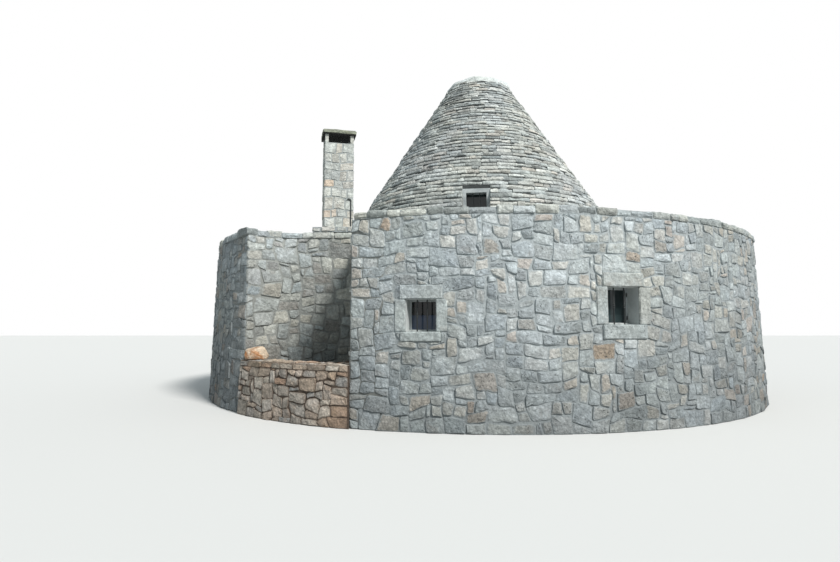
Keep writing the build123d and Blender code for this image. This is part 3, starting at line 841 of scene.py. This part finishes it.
class Opening:
    """A window or a doorway, with the widths and heights of its dressed stones."""

    def __init__(self, angle, width, bottom, top, jamb, lintel, sill):
        self.angle, self.width, self.bottom, self.top = angle, width, bottom, top
        self.jamb, self.lintel, self.sill = jamb, lintel, sill
        self.place = facing_place(angle)
        self.face = face_radius((bottom + top) / 2)
        self.back = self.face - SURROUND_DEPTH

    def holes(self):
        """Stretches of the drum's face that the dressed stones take up."""
        centre = radians(self.angle) * FOOT_RADIUS
        length, height = self.lintel
        below, depth = self.sill
        rows = [
            (below, self.bottom - depth, self.bottom),
            (self.width + 2 * self.jamb, self.bottom, self.top),
            (length, self.top, self.top + height),
        ]
        return [(centre - w / 2, centre + w / 2, low, high) for w, low, high in rows]


# Width, bottom, top, width of a jamb, then length and height of the lintel and of the sill
LEFT_SIZES = (0.49, 1.53, 2.035, 0.17, (0.68, 0.22), (0.64, 0.15))
RIGHT_SIZES = (0.57, 1.64, 2.23, 0.2, (0.74, 0.22), (0.78, 0.225))
WINDOW_SETS = {
    "left_window": [Opening(-102.85, *LEFT_SIZES)],
    "right_window": [Opening(-74.85, *RIGHT_SIZES)],
    "back_window": [Opening(102.85, *LEFT_SIZES), Opening(74.85, *RIGHT_SIZES)],
}
doorway = Opening(180, 1.0, FLOOR_LEVEL, FLOOR_LEVEL + 2.0, 0.2, (1.4, 0.2), (1.4, 0.12))
ALL_SETS = dict(WINDOW_SETS, door=[doorway])


def dressed_sets():
    """Lintels, jambs and sills as worn, hand-cut blocks."""
    for number, (set_name, openings) in enumerate(ALL_SETS.items()):
        names = ("lintel", "jambs", "sill")
        pieces = {name: Stones(40 + number * 4 + k) for k, name in enumerate(names)}
        for opening in openings:
            (length, height), (below, depth) = opening.lintel, opening.sill
            low, high, half = opening.bottom, opening.top, opening.width / 2
            outer = half + opening.jamb + SNUG
            proud = 0 if set_name == "door" else SILL_PROUD
            blocks = (
                ("lintel", (-length / 2 - SNUG, high), (length / 2 + SNUG, high + height + SNUG)),
                ("jambs", (-outer, low), (-half, high - 0.001)),
                ("jambs", (half, low), (outer, high - 0.001)),
                ("sill", (-below / 2 - SNUG, low - depth - SNUG), (below / 2 + SNUG, low - 0.001)),
            )
            for name, first, last in blocks:
                bevel, chips = (0.014, 0.01) if name == "jambs" else (0.016, 0.012)
                face = opening.face + (proud if name == "sill" else SURROUND_PROUD)
                corners = ((*first, opening.back), (*last, face))
                rough_block(pieces[name], opening.place, *corners, bevel, chips=chips)
        for name, stones in pieces.items():
            node = f"{set_name}_{name}".replace("door_sill", "door_threshold")
            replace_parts(stones.make(f"{node}_stone", dressed_stone, "dressed_stone"), node)


BAR_RINGS = [
    (0.0, 0.011), (0.43, 0.011), (0.45, 0.018), (0.475, 0.014), (0.5, 0.023),
    (0.525, 0.014), (0.55, 0.018), (0.57, 0.011), (1.0, 0.011),
]
HINGE_RINGS = [(0, 0.009), (0.45, 0.009), (0.5, 0.012), (0.55, 0.009), (1, 0.009)]
HINGES_AT = (0.18, 0.82)  # shares of the window's height


def window_fittings():
    """Iron bars with collars, hinge brackets, plaster on the reveals, inner sills."""
    for set_name, openings in WINDOW_SETS.items():
        bars, coats = Stones(), Stones(70)
        for opening in openings:
            low, high, half = opening.bottom, opening.top, opening.width / 2
            for across in (-half / 3, half / 3):
                heights = np.array([low - BAR_GAP, high + BAR_GAP])
                round_bar(bars, opening.place(across, heights, opening.face - BAR_INSET), BAR_RINGS)
            for up in HINGES_AT:
                heights = low + (high - low) * up + np.array([-0.035, 0.035])
                across = half - FRAME_WIDTH + FRAME_REBATE
                round_bar(bars, opening.place(across, heights, opening.back + 0.012), HINGE_RINGS)
            face, inner = opening.face - 0.03, opening.back + 0.002
            for corners in (
                ((-half - 0.002, low, inner), (-half + 0.006, high, face)),
                ((half - 0.006, low, inner), (half + 0.002, high, face)),
                ((-half, high - 0.006, inner), (half, high + 0.002, face)),
                ((-half, low - 0.002, inner), (half, low + 0.022, inner + 0.07)),
            ):
                rough_block(coats, opening.place, *corners, 0.002, 0.0012, 0.001)
        bars.make(f"{set_name}_bars", iron_bars, "frame_paint", BAR_CREASE)
        coats.make(f"{set_name}_reveals", reveal_plaster, "dressed_stone")


# Walls


def lay(stones, place, outlines, rises):
    """Stones with mostly tight joints, some of them wide."""
    rand = stones.random
    for outline in outlines:
        rise = rand.uniform(*rises)
        wide = rand.random() < 0.25
        joint = rand.uniform(0.018, 0.036) if wide else rand.uniform(0.005, 0.02)
        face_stone(stones, place, outline, rise, joint)


# Name, seed and the degrees from and to which a piece goes
DRUM_PARTS = (("front", 11, -180, 0), ("back", 12, 0, 112), ("left", 13, 112, 360))


def drum_stones():
    """Rubble face of the drum, from one corner of the recess round to the other."""
    span = [sum(corner) / 2 * FOOT_RADIUS for corner in (RIGHT_CORNER, LEFT_CORNER)]
    holes = [hole for group in ALL_SETS.values() for opening in group for hole in opening.holes()]
    outlines = rubble(Random(7), span, (0.0, WALL_TOP), WALL_CELL, holes)
    turns = [degrees(outline[0][0] / FOOT_RADIUS) for outline in outlines]
    for name, seed, low, high in DRUM_PARTS:
        stones = Stones(seed)
        part = [outline for outline, turn in zip(outlines, turns) if low <= turn < high]
        lay(stones, round_place(), part, (0.007, 0.03))
        stones.make(f"drum_stones_{name}", wall_stone, "wall_stone", STONE_CREASE)


def recess_stones():
    stones = Stones(21)
    for place, length, seed in ((back_place, BACK_LENGTH, 22), (side_place, SIDE_LENGTH, 23)):
        heights = (SOIL_TOP - 0.15, WALL_TOP)
        outlines = rubble(Random(seed), (0.0, length), heights, RECESS_CELL)
        lay(stones, place, outlines, (0.008, 0.03))
    stones.make("recess_stones", recess_stone, "wall_stone", STONE_CREASE)


def planter_stones():
    """Small warm rubble with open joints, and its uneven top."""
    stones = Stones(31)
    left = LEFT_CORNER[0] - 2 * pi
    span = ((left + 0.001) * FOOT_RADIUS, sum(RIGHT_CORNER) / 2 * FOOT_RADIUS)
    rand = Random(32)
    place = round_place(PLANTER_PROUD)
    course = PLANTER_TOP - TOP_CELL
    outlines = rubble(rand, span, (0.0, course), WALL_CELL, mix=PLANTER_MIX, jitter=0.38)
    outlines += rubble(rand, span, (course, PLANTER_TOP), TOP_CELL, mix=PLANTER_TOP_MIX)
    for outline in outlines:
        rise, joint = stones.random.uniform(0.008, 0.03), stones.random.uniform(0.004, 0.014)
        face_stone(stones, place, outline, rise, joint, 0.05, 0.05)
    rim = face_radius(PLANTER_TOP) + PLANTER_PROUD + 0.01
    width = rim - (FOOT_RADIUS - PLANTER_THICKNESS)
    reach = [end / FOOT_RADIUS * rim for end in span]
    for outline in rubble(rand, reach, (0.0, width), RIM_CELL, mix=PLANTER_MIX):
        rise = stones.random.uniform(0.01, 0.035)
        face_stone(stones, level_place(rim, PLANTER_TOP), outline, rise, 0.016, 0.05)
    stones.make("planter_stones", planter_stone, "planter_stone", STONE_CREASE)


BOULDER_SPOT, BOULDER_SIZE = (-4.5, -4.72), (0.25, 0.18, 0.17)


def boulder():
    """A lump of field stone, flattened under and broken by a few cut planes."""
    stones, columns, rows = Stones(5), 28, 14
    rand = stones.random
    tilt = np.repeat(pi * (np.arange(rows + 1) / rows - 0.5), columns)
    points = polar(np.cos(tilt), np.tile(circle(columns), rows + 1), np.sin(tilt))
    for _ in range(9):
        normal = Vector((rand.gauss(0, 1), rand.gauss(0, 1), rand.gauss(0, 0.7))).normalized()
        over = np.maximum(points @ normal - rand.uniform(0.7, 0.9), 0)
        points = points - np.outer(over, normal) * 0.85
    points[:, 2] = np.maximum(points[:, 2], -0.5)
    points = points * BOULDER_SIZE + (*BOULDER_SPOT, PLANTER_TOP + 0.11)
    stones.add(points, ring_faces(rows + 1, columns), tint=(0.5, 0.6, 0.9))
    stones.make("planter_boulder", boulder_stone, "planter_stone", 35)


COPING_PROFILE = [
    (-0.51, 0.0), (-0.03, 0.0), (-0.014, 0.01), (-0.006, 0.038), (-0.006, 0.074), (-0.012, 0.108),
    (-0.03, 0.13), (-0.08, 0.142), (-0.17, 0.146), (-0.27, 0.148), (-0.38, 0.146), (-0.47, 0.138),
    (-0.52, 0.1), (-0.525, 0.05),
]
COPING_BED = [(-0.48, 0.0), (-0.035, 0.0), (-0.035, 0.1), (-0.48, 0.1)]
COPING_DEPTH = 0.51
COPING_LENGTHS = (0.17, 0.44)
COPING_STYLE = dict(rough=0.01, round_off=0.012, step=0.08, shy=0.024, closed=True, deep_wear=0.95)
BED_STYLE = dict(rough=0.003, round_off=0.0, step=0.16, closed=True)


def run_of_stones(stones, place, start, end):
    """Rough coping stones laid end to end, the last made to fit."""
    rand = stones.random
    shortest, longest = COPING_LENGTHS
    at = start
    while at < end - 1e-6:
        length = rand.uniform(shortest, longest)
        if end - at - length < shortest * 0.7:
            length = end - at
            if length > longest:
                length /= 2
        bump = rand.uniform(-0.018, 0.016)
        tall = rand.uniform(-0.036, 0.012)
        lean = rand.uniform(-0.2, 0.2)
        shape = [
            (out + bump + lean * (z - 0.07) * (out > -0.3), z + tall * min(1, z / 0.1))
            for out, z in COPING_PROFILE
        ]
        gap = rand.uniform(0.003, 0.016)
        slab(stones, place, at + gap / 2, at + length - gap / 2, shape, **COPING_STYLE)
        at += length


def coping_stones():
    stones, beds = Stones(51), Stones(52)
    radius = COPING_RADIUS
    flank_lean = tan(BEND_TURN - LEFT_CORNER[0] + pi)
    left_end = LEFT_CORNER[0] - COPING_DEPTH * hypot(1, flank_lean) / radius
    ends = ((left_end, BEND_TURN), (RIGHT_CORNER[0], pi / 2))
    leans = [(corner, tan(line - corner + pi)) for corner, line in ends]

    def round_rim(s, z, out):
        """The slabs by the recess end along those of its flank and its side."""
        angle = s / radius
        for corner, lean in leans:
            near = np.clip(1 - np.abs(angle - corner) * radius / 0.8, 0, 1)
            angle = angle + near * lean * out / radius
        return polar(radius + out, angle, WALL_TOP + z)

    def back_rim(s, z, out):
        """The first slab's end follows the face of the drum."""
        near = np.clip(1 - np.abs(s) / 0.7, 0, 1)
        out = out + RIM_PROUD
        return back_place(s - near * flank_lean * out, WALL_TOP + z, out)

    def side_rim(s, z, out):
        return stack(RECESS_SIDE_X - RIM_PROUD - out, RECESS_BACK_Y - s, WALL_TOP + z)

    side = sqrt(radius**2 - RECESS_SIDE_X**2) + RECESS_BACK_Y
    runs = (
        (round_rim, RIGHT_CORNER[0] * radius + 0.05, left_end * radius),
        (back_rim, -0.03, BACK_LENGTH),
        (side_rim, -COPING_DEPTH, side - COPING_DEPTH * hypot(1, leans[1][1])),
    )
    for place, start, end in runs:
        run_of_stones(stones, place, start, end)
        slab(beds, place, start + 0.04, end - 0.04, COPING_BED, **BED_STYLE)
    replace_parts(stones.make("coping_stones", coping_stone, "coping_stone", SLAB_CREASE), "coping")
    beds.make("coping_bed", joint_mortar, "coping_stone")


# Cone


def course_levels():
    thinning = (1 - COURSE_THINNING) / (CONE_COURSES - 1)
    shares = [1 - thinning * number for number in range(CONE_COURSES)]
    levels = [DECK_TOP]
    for share in shares:
        levels.append(levels[-1] + (CONE_TOP - DECK_TOP) * share / sum(shares))
    return levels


def cone_radius(z):
    return CONE_FOOT_RADIUS - CONE_SLOPE * (z - DECK_TOP)


LOWER_COURSES = 24  # those of the cone's lower piece
SLAB_DEPTH, WINDOW_SLAB_DEPTH = 0.12, 0.5  # how far they reach in, the latter beside the window


def cone_stones():
    """Thin rough slabs in stepped courses, with open beds between them, dark with their own shadow and
    the core's painted shade.
    """
    parts = {"lower": Stones(61), "upper": Stones(62)}
    for number, (low, high) in enumerate(pairwise(course_levels())):
        stones = parts["lower" if number < LOWER_COURSES else "upper"]
        rand = stones.random
        radius = cone_radius((low + high) / 2)
        centre = radians(CONE_WINDOW_ANGLE) * radius
        by_window = high > CONE_WINDOW_LOW and low < CONE_WINDOW_HIGH
        if by_window:
            half = radius * asin(CONE_WINDOW_HALF / radius)
            start, end = centre + half, centre + 2 * pi * radius - half
        else:
            start = centre + rand.uniform(0, 0.3)
            end = start + 2 * pi * radius
        size = 0.62 + 0.38 * radius / CONE_FOOT_RADIUS
        at = start
        while at < end - 1e-6:
            length = rand.uniform(0.16, 0.56) * size
            if end - at - length < 0.1:
                length = end - at
            at_window = by_window and (at == start or at + length > end - 1e-6)
            depth = WINDOW_SLAB_DEPTH if at_window else SLAB_DEPTH
            step = high - low
            foot = low + max(0.0, rand.uniform(-0.006, 0.026))
            head = high + rand.uniform(-0.010, 0.008)
            front = 0.024 + rand.uniform(-0.018, 0.018)
            profile = [
                (-depth, foot),
                (front - 0.014, foot),
                (front, foot + step * 0.22),
                (front - 0.004, foot + step * 0.55),
                (front - 0.026, head - 0.008),
                (-depth, head),
            ]
            gap = rand.uniform(-0.004, 0.010) / 2
            slab(stones, cone_place(radius), at + gap, at + length - gap, profile, 0.009, 0.007, 0.9)
            at += length
    for name, stones in parts.items():
        stones.make(f"cone_stones_{name}", cone_stone, "cone_stone", SLAB_CREASE)


CAP_OUTLINE = [
    (0.84, -0.165), (0.878, -0.15), (0.868, -0.1), (0.858, -0.04), (0.835, 0.0), (0.79, 0.028),
    (0.69, 0.078), (0.55, 0.146), (0.4, 0.19), (0.26, 0.228), (0.13, 0.262), (0.05, 0.282),
]


def cap_dome():
    """Pale lime crown of the cone, patted smooth over small stones."""
    stones, sides = Stones(91), 72
    rand, turn = stones.random, circle(sides)
    waves = [(rand.randint(2, 9), rand.uniform(4, 22), rand.uniform(0, 6.28)) for _ in range(9)]
    points = []
    for reach, rise in CAP_OUTLINE:
        swell = sum(np.sin(a * turn + b * rise + c) for a, b, c in waves) * 0.004
        radius = reach + swell + stones.noise(sides, 0.002)
        height = CONE_TOP + rise + swell * (0.6 if rise > 0 else 1.6)
        points.extend(polar(radius, turn, height, CONE_AXIS_X))
    points.append((CONE_AXIS_X, 0, CAP_TOP))
    faces = ring_faces(len(CAP_OUTLINE), sides, hub=True)
    stones.add(points, faces, tint=(0.5, 0.5, 0.2))
    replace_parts(stones.make("cap_dome", cap_stone, "cap_stone", 60), "cone_cap")


# Chimney


def chimney_place(across, back, up):
    """Place on the turned chimney, from its axis."""
    c, s = cos(CHIMNEY_TURN), sin(CHIMNEY_TURN)
    return stack(CHIMNEY_CENTRE.x + across * c - back * s, CHIMNEY_CENTRE.y + across * s + back * c, up)


def bent_place(across, back, up):
    """As chimney_place, with the beds and the joints of the blocks a little bent."""
    ends = np.clip((up - STACK_LOW.z) / 0.12, 0, 1) * np.clip((STACK_HIGH.z - up) / 0.12, 0, 1)
    rise = 0.014 * np.sin(9 * across + 6 * back + 4 * up)
    rise = rise + 0.009 * np.sin(17 * across - 11 * back + 3 * up)
    shift = 0.012 * np.sin(11 * up + 7 * back) + 0.006 * np.sin(23 * up + 5 * across)
    inside = np.clip(1 - np.abs(across) / (CHIMNEY_WIDTH / 2), 0, 1)
    return chimney_place(across + shift * inside, back, up + rise * ends)


def parted(rand, start, end, count, wobble):
    """Cuts that part a stretch into about equal lengths."""
    step = (end - start) / count
    inner = [start + step * (k + rand.uniform(-wobble, wobble)) for k in range(1, count)]
    return [start, *inner, end]


CHIMNEY_COURSES = 9
OCHRE_BLOCKS = {(1, "side", 0), (1, "front", 0), (4, "front", 0)}  # course, wall and number


def chimney_blocks():
    """Courses of squared blocks that bond round the flue, a few of them ochre."""
    pale, ochre = Stones(101), Stones(102)
    rand = pale.random
    half_x, half_y = CHIMNEY_WIDTH / 2 + BLOCK_PROUD, CHIMNEY_DEPTH / 2 + BLOCK_PROUD
    wall_x, wall_y = (CHIMNEY_WIDTH - FLUE) / 2 + BLOCK_PROUD, (CHIMNEY_DEPTH - FLUE) / 2 + BLOCK_PROUD
    joint = BLOCK_JOINT / 2
    levels = parted(rand, STACK_LOW.z, STACK_HIGH.z, CHIMNEY_COURSES, 0.2)
    for course, (low, high) in enumerate(pairwise(levels)):
        through = course % 2 == 0
        ends = half_x if through else half_x - wall_x
        sides = half_y - wall_y if through else half_y
        for side, wall in product((-1, 1), ("front", "side")):
            if wall == "front":
                half, thick, reach, wobble = half_y, wall_y, ends, 0.26
                count = 3 if through and rand.random() < 0.6 else 2
            else:
                half, thick, reach, wobble = half_x, wall_x, sides, 0.22
                count = 1 if through else 2
            cuts = parted(rand, -reach, reach, count, wobble)
            face = sorted((side * (half - thick), side * half))
            for number, (start, end) in enumerate(pairwise(cuts)):
                warm = side < 0 and (course, wall, number) in OCHRE_BLOCKS
                corners = [(start + joint, face[0]), (end - joint, face[1])]
                if wall == "side":
                    corners = [(out, along) for along, out in corners]
                first, last = (*corners[0], low + joint), (*corners[1], high - joint)
                rough_block(ochre if warm else pale, bent_place, first, last, 0.012, 0.006, 0.016)
    pale.make("chimney_blocks", block_stone, "chimney_stone")
    ochre.make("chimney_blocks_ochre", ochre_stone, "chimney_stone")


def centred_block(stones, x, y, low, high, *wear):
    """A block round the chimney's axis."""
    rough_block(stones, chimney_place, (-x, -y, low), (x, y, high), *wear)


def chimney_head():
    """Posts of the smoke slot, the lichened slab over them and the spread foot."""
    stones, head, soot_and_shade_plates, foot = Stones(111), Stones(112), Stones(114), Stones(113)
    half_x, half_y = CHIMNEY_WIDTH / 2, CHIMNEY_DEPTH / 2
    for side, end in product((-1, 1), (-1, 1)):
        across = sorted((side * half_x, side * (half_x - POST_SIZE)))
        back = sorted((end * half_y, end * (half_y - POST_SIZE)))
        corners = ((across[0], back[0], STACK_HIGH.z), (across[1], back[1], SLAB_LOW.z))
        rough_block(stones, chimney_place, *corners, bevel=0.007)
    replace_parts(stones.make("chimney_posts_stone", block_stone, "chimney_stone"), "chimney_posts")
    reach_x, reach_y = half_x + SLAB_OVERHANG, half_y + SLAB_OVERHANG
    centred_block(head, reach_x, reach_y, SLAB_LOW.z, SLAB_HIGH.z, 0.02, 0.006, 0.016)
    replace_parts(head.make("chimney_slab", lichen_slab, "chimney_stone"), "chimney_cap")
    # Dark plates under the slab and in the top of the flue: soot, deepened to painted shade
    flue, thin = FLUE / 2 + 0.012, (0.002, 0.001, 0.001)
    under = (SLAB_LOW.z - 0.006, SLAB_LOW.z + 0.01)
    centred_block(soot_and_shade_plates, reach_x - 0.006, reach_y - 0.006, *under, *thin)
    centred_block(soot_and_shade_plates, flue, flue, STACK_HIGH.z - 0.3, STACK_HIGH.z + 0.004, *thin)
    soot_and_shade_plates.make("chimney_soot_and_shade", soot_and_painted_shade, "chimney_stone")
    low, high = BASE_LOW, BASE_HIGH
    grow = 0.012
    for front, back in ((low.y - grow, low.y + 0.14), (high.y - 0.14, high.y + grow)):
        for left, right in pairwise(parted(foot.random, low.x - grow, high.x + grow, 4, 0.22)):
            top = high.z + foot.random.uniform(0.0, 0.018)
            corners = ((left + 0.004, front, low.z), (right - 0.004, back, top))
            rough_block(foot, stack, *corners, bevel=0.024, rough=0.008, chips=0.02)
    foot.make("chimney_foot_stones", block_stone, "chimney_stone")


def conduit():
    """Thin pipe that climbs the chimney's front right corner and hooks over."""
    across, back = CHIMNEY_WIDTH / 2 - 0.05, -CHIMNEY_DEPTH / 2 - 0.024
    foot = BASE_HIGH.z
    route = [(across, back, foot + rise) for rise in (0, 0.3, 0.5, 0.57)]
    route += [(across - 0.03, back - 0.004, foot + 0.6), (across - 0.075, back - 0.006, foot + 0.585)]
    curve = bpy.data.curves.new("conduit", "CURVE")
    curve.dimensions = "3D"
    curve.bevel_depth = 0.011
    curve.bevel_resolution = 3
    spline = curve.splines.new("NURBS")
    spline.points.add(len(route) - 1)
    for point, where in zip(spline.points, route):
        point.co = (*chimney_place(*where), 1)
    spline.order_u = 3
    spline.use_endpoint_u = True
    draft = link("conduit_draft", curve)
    mesh = bpy.data.meshes.new_from_object(draft)
    bpy.data.objects.remove(draft)
    seat("chimney_conduit", mesh, iron_bars)


# Roof deck, soil and door


def deck_flags():
    """Flagstones on the roof terrace, kept clear of the recess and the cone."""
    stones = Stones(121)
    place = level_place(DECK_RADIUS, DECK_TOP)
    around = 2 * pi * DECK_RADIUS
    depth = DECK_RADIUS - CONE_FOOT_RADIUS + 0.25
    for outline in rubble(Random(122), (0, around), (0, depth), FLAG_CELL, mix=FLAG_MIX):
        x, y, _ = place(*np.array(outline).T, 0).T
        across = (x > RECESS_END_X) & (x < RECESS_SIDE_X + RECESS_WALL)
        in_recess = across & (y < RECESS_BACK_Y + RECESS_WALL)
        in_cone = np.hypot(x - CONE_AXIS_X, y) < CONE_FOOT_RADIUS - 0.05
        if not in_recess.any() and not in_cone.all():
            face_stone(stones, place, outline, 0.012, 0.016, 0.01, 0.01)
    stones.make("deck_flags", flagstone, "floor_stone")


def soil_surface():
    """Crumbled earth in the planter."""
    rand = Random(131)
    across, deep = 61, 25
    shares = np.linspace(0, 1, across), np.linspace(0, 1, deep)
    share, near = np.meshgrid(*shares, indexing="ij")
    left, right = LEFT_CORNER[1] - 2 * pi + 0.012, RIGHT_CORNER[1]
    front = polar(FOOT_RADIUS - PLANTER_THICKNESS, left + (right - left) * share, 0.0)
    back = back_place(share * BACK_LENGTH, 0.0, 0.0)
    x, y, _ = (back + (front - back) * near[..., None]).reshape(-1, 3).T
    lumps = 0.012 * np.sin(9 * x + 4 * y) + 0.01 * np.sin(17 * y - 8 * x)
    crumbs = [rand.uniform(-0.006, 0.010) for _ in x]
    points = stack(x, y, SOIL_TOP + 0.02 + lumps + crumbs)
    faces = ring_faces(across, deep, strips=True)
    make_piece("planter_earth", points, faces, soil_earth, crease=180)


DOOR_BOARDS, DOOR_RAILS = 6, (0.32, 1.62)  # number of boards, heights of the rails


def door_boards():
    """Upright planks with two rails behind strap hinges, a ring and a lock plate."""
    low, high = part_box("door_leaf")
    face = low.x - 0.012
    boards, irons = Stones(141), Stones(142)
    edges = np.linspace(low.y, high.y, DOOR_BOARDS + 1)
    for left, right in pairwise(edges):
        corners = ((face, left + 0.002, low.z + 0.004), (high.x, right - 0.002, high.z - 0.002))
        rough_block(boards, stack, *corners, 0.005, 0.0012, 0.002)
    for height in DOOR_RAILS:
        rail = low.z + height
        corners = ((high.x - 0.002, low.y + 0.02, rail), (high.x + 0.03, high.y - 0.02, rail + 0.14))
        rough_block(boards, stack, *corners, 0.006, 0.001, 0.002)
        corners = ((face - 0.007, low.y + 0.01, rail + 0.06), (face, high.y - 0.24, rail + 0.105))
        rough_block(irons, stack, *corners, 0.003, 0.0005, 0.001)
    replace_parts(boards.make("door_boards", door_wood, "door_wood"), "door_leaf")
    corners = ((face - 0.006, high.y - 0.13, low.z + 0.92), (face, high.y - 0.05, low.z + 1.1))
    rough_block(irons, stack, *corners, 0.002, 0.0004, 0.001)
    turns, sides = 20, 8
    turn, lean = np.repeat(circle(turns), sides), np.tile(circle(sides), turns)
    reach = 0.042 + 0.007 * np.cos(lean)
    y, z = high.y - 0.09 + reach * np.sin(turn), low.z + 1.0 + reach * np.cos(turn)
    ring = stack(face - 0.016 + 0.007 * np.sin(lean), y, z)
    irons.add(ring, ring_faces(turns, sides, looped=True), tint=PLAIN)
    irons.make("door_irons", iron_bars, "frame_paint")


def cone_window_bars():
    bars = Stones()
    place = facing_place(CONE_WINDOW_ANGLE, CONE_AXIS_X)
    heights = np.array([CONE_WINDOW_LOW, CONE_WINDOW_HIGH - 0.09])
    for across in (-0.075, 0.075):
        ends = place(across, heights, cone_radius(CONE_WINDOW_HIGH) - 0.06)
        round_bar(bars, ends, [(0, 0.008), (1, 0.008)])
    bars.make("cone_window_bars", iron_bars, "frame_paint", BAR_CREASE)


# Carried-over solids


def named(start):
    return [name for name in nodes if name.startswith(start)]


MATERIALS = {
    joint_mortar: [*named("wall_"), "chimney_base", "roof_deck"],
    recess_joint: ["recess_wall"],
    pale_joint: ["chimney_stack"],
    brown_joint: ["planter_wall"],
    soil_earth: ["planter_soil"],
    painted_gap_shade: ["cone"],
    rough_plaster: ["cone_window_surround"],
    floor_paving: ["floor"],
    limewash: named("ring_wall_"),
    frame_paint: [f"{name}_frame" for name in WINDOW_SETS],
    glass_pane: ["right_window_glass", "back_window_glass", "cone_window_glass"],
    glass_painted_reflection: ["left_window_glass"],
}


def dress_nodes():
    for material, names in MATERIALS.items():
        for name in names:
            mesh = nodes[name].data
            mesh.materials.clear()
            mesh.materials.append(material)


# Stage, light and camera

SKY_COLOUR, SKY_STRENGTH = [0.79, 0.93, 1.0, 1], 0.37
SUN_FROM = Vector((0.43, -0.56, 0.707))
SUN_ENERGY, SUN_SPREAD, SUN_COLOUR = 3.34, 13, (1.0, 0.98, 0.95)
STAGE_REACH, FLOOR_LIT, FLOOR_SEEN = 90, (150, 150, 148), (228, 228, 226)
EYE, PITCH, LENS = (-1.476, -15.0, 1.6), 94.79, 23.57


def stage():
    """Pale floor, white surroundings, a broad soft sun from the right front."""
    mesh = bpy.data.meshes.new("stage_floor")
    corners = [(x * STAGE_REACH, y * STAGE_REACH, 0) for x, y in ((-1, -1), (1, -1), (1, 1), (-1, 1))]
    mesh.from_pydata(corners, [], [(0, 1, 2, 3)])
    shader = Shader("stage_floor")
    shader.colour = FLOOR_LIT
    shader.blend(shader.seen_directly(), FLOOR_SEEN)
    mesh.materials.append(shader.finish(0.9))
    floor = link("stage_floor", mesh)

    world = bpy.data.worlds.new("studio")
    bpy.context.scene.world = world
    world.use_nodes = True
    around = Nodes(world.node_tree)
    sky, output = (around.tree.nodes[name] for name in ("Background", "World Output"))
    around.put(sky.inputs, {"Color": SKY_COLOUR, "Strength": SKY_STRENGTH})
    white = around.add("Background", {"Color": (255, 255, 255)})
    inputs = {0: around.seen_directly(), 1: sky.outputs[0], 2: white.outputs[0]}
    around.put(output.inputs, {"Surface": around.add("MixShader", inputs).outputs[0]})

    lamp = bpy.data.lights.new("sun", "SUN")
    lamp.energy = SUN_ENERGY
    lamp.angle = radians(SUN_SPREAD)
    lamp.color = SUN_COLOUR
    link("sun", lamp).rotation_euler = SUN_FROM.to_track_quat("Z", "Y").to_euler()


def camera():
    """The photographer's place: eye height on the lowest ground, looking north."""
    view = bpy.data.cameras.new("camera")
    view.sensor_width = 36
    view.lens = LENS
    holder = link("camera", view)
    holder.location = EYE
    holder.rotation_euler = (radians(PITCH), 0, 0)
    bpy.context.scene.camera = holder


dress_nodes()
drum_stones()
recess_stones()
planter_stones()
coping_stones()
cone_stones()
cap_dome()
chimney_blocks()
chimney_head()
conduit()
deck_flags()
soil_surface()
boulder()
dressed_sets()
window_fittings()
cone_window_bars()
door_boards()
stage()
camera()
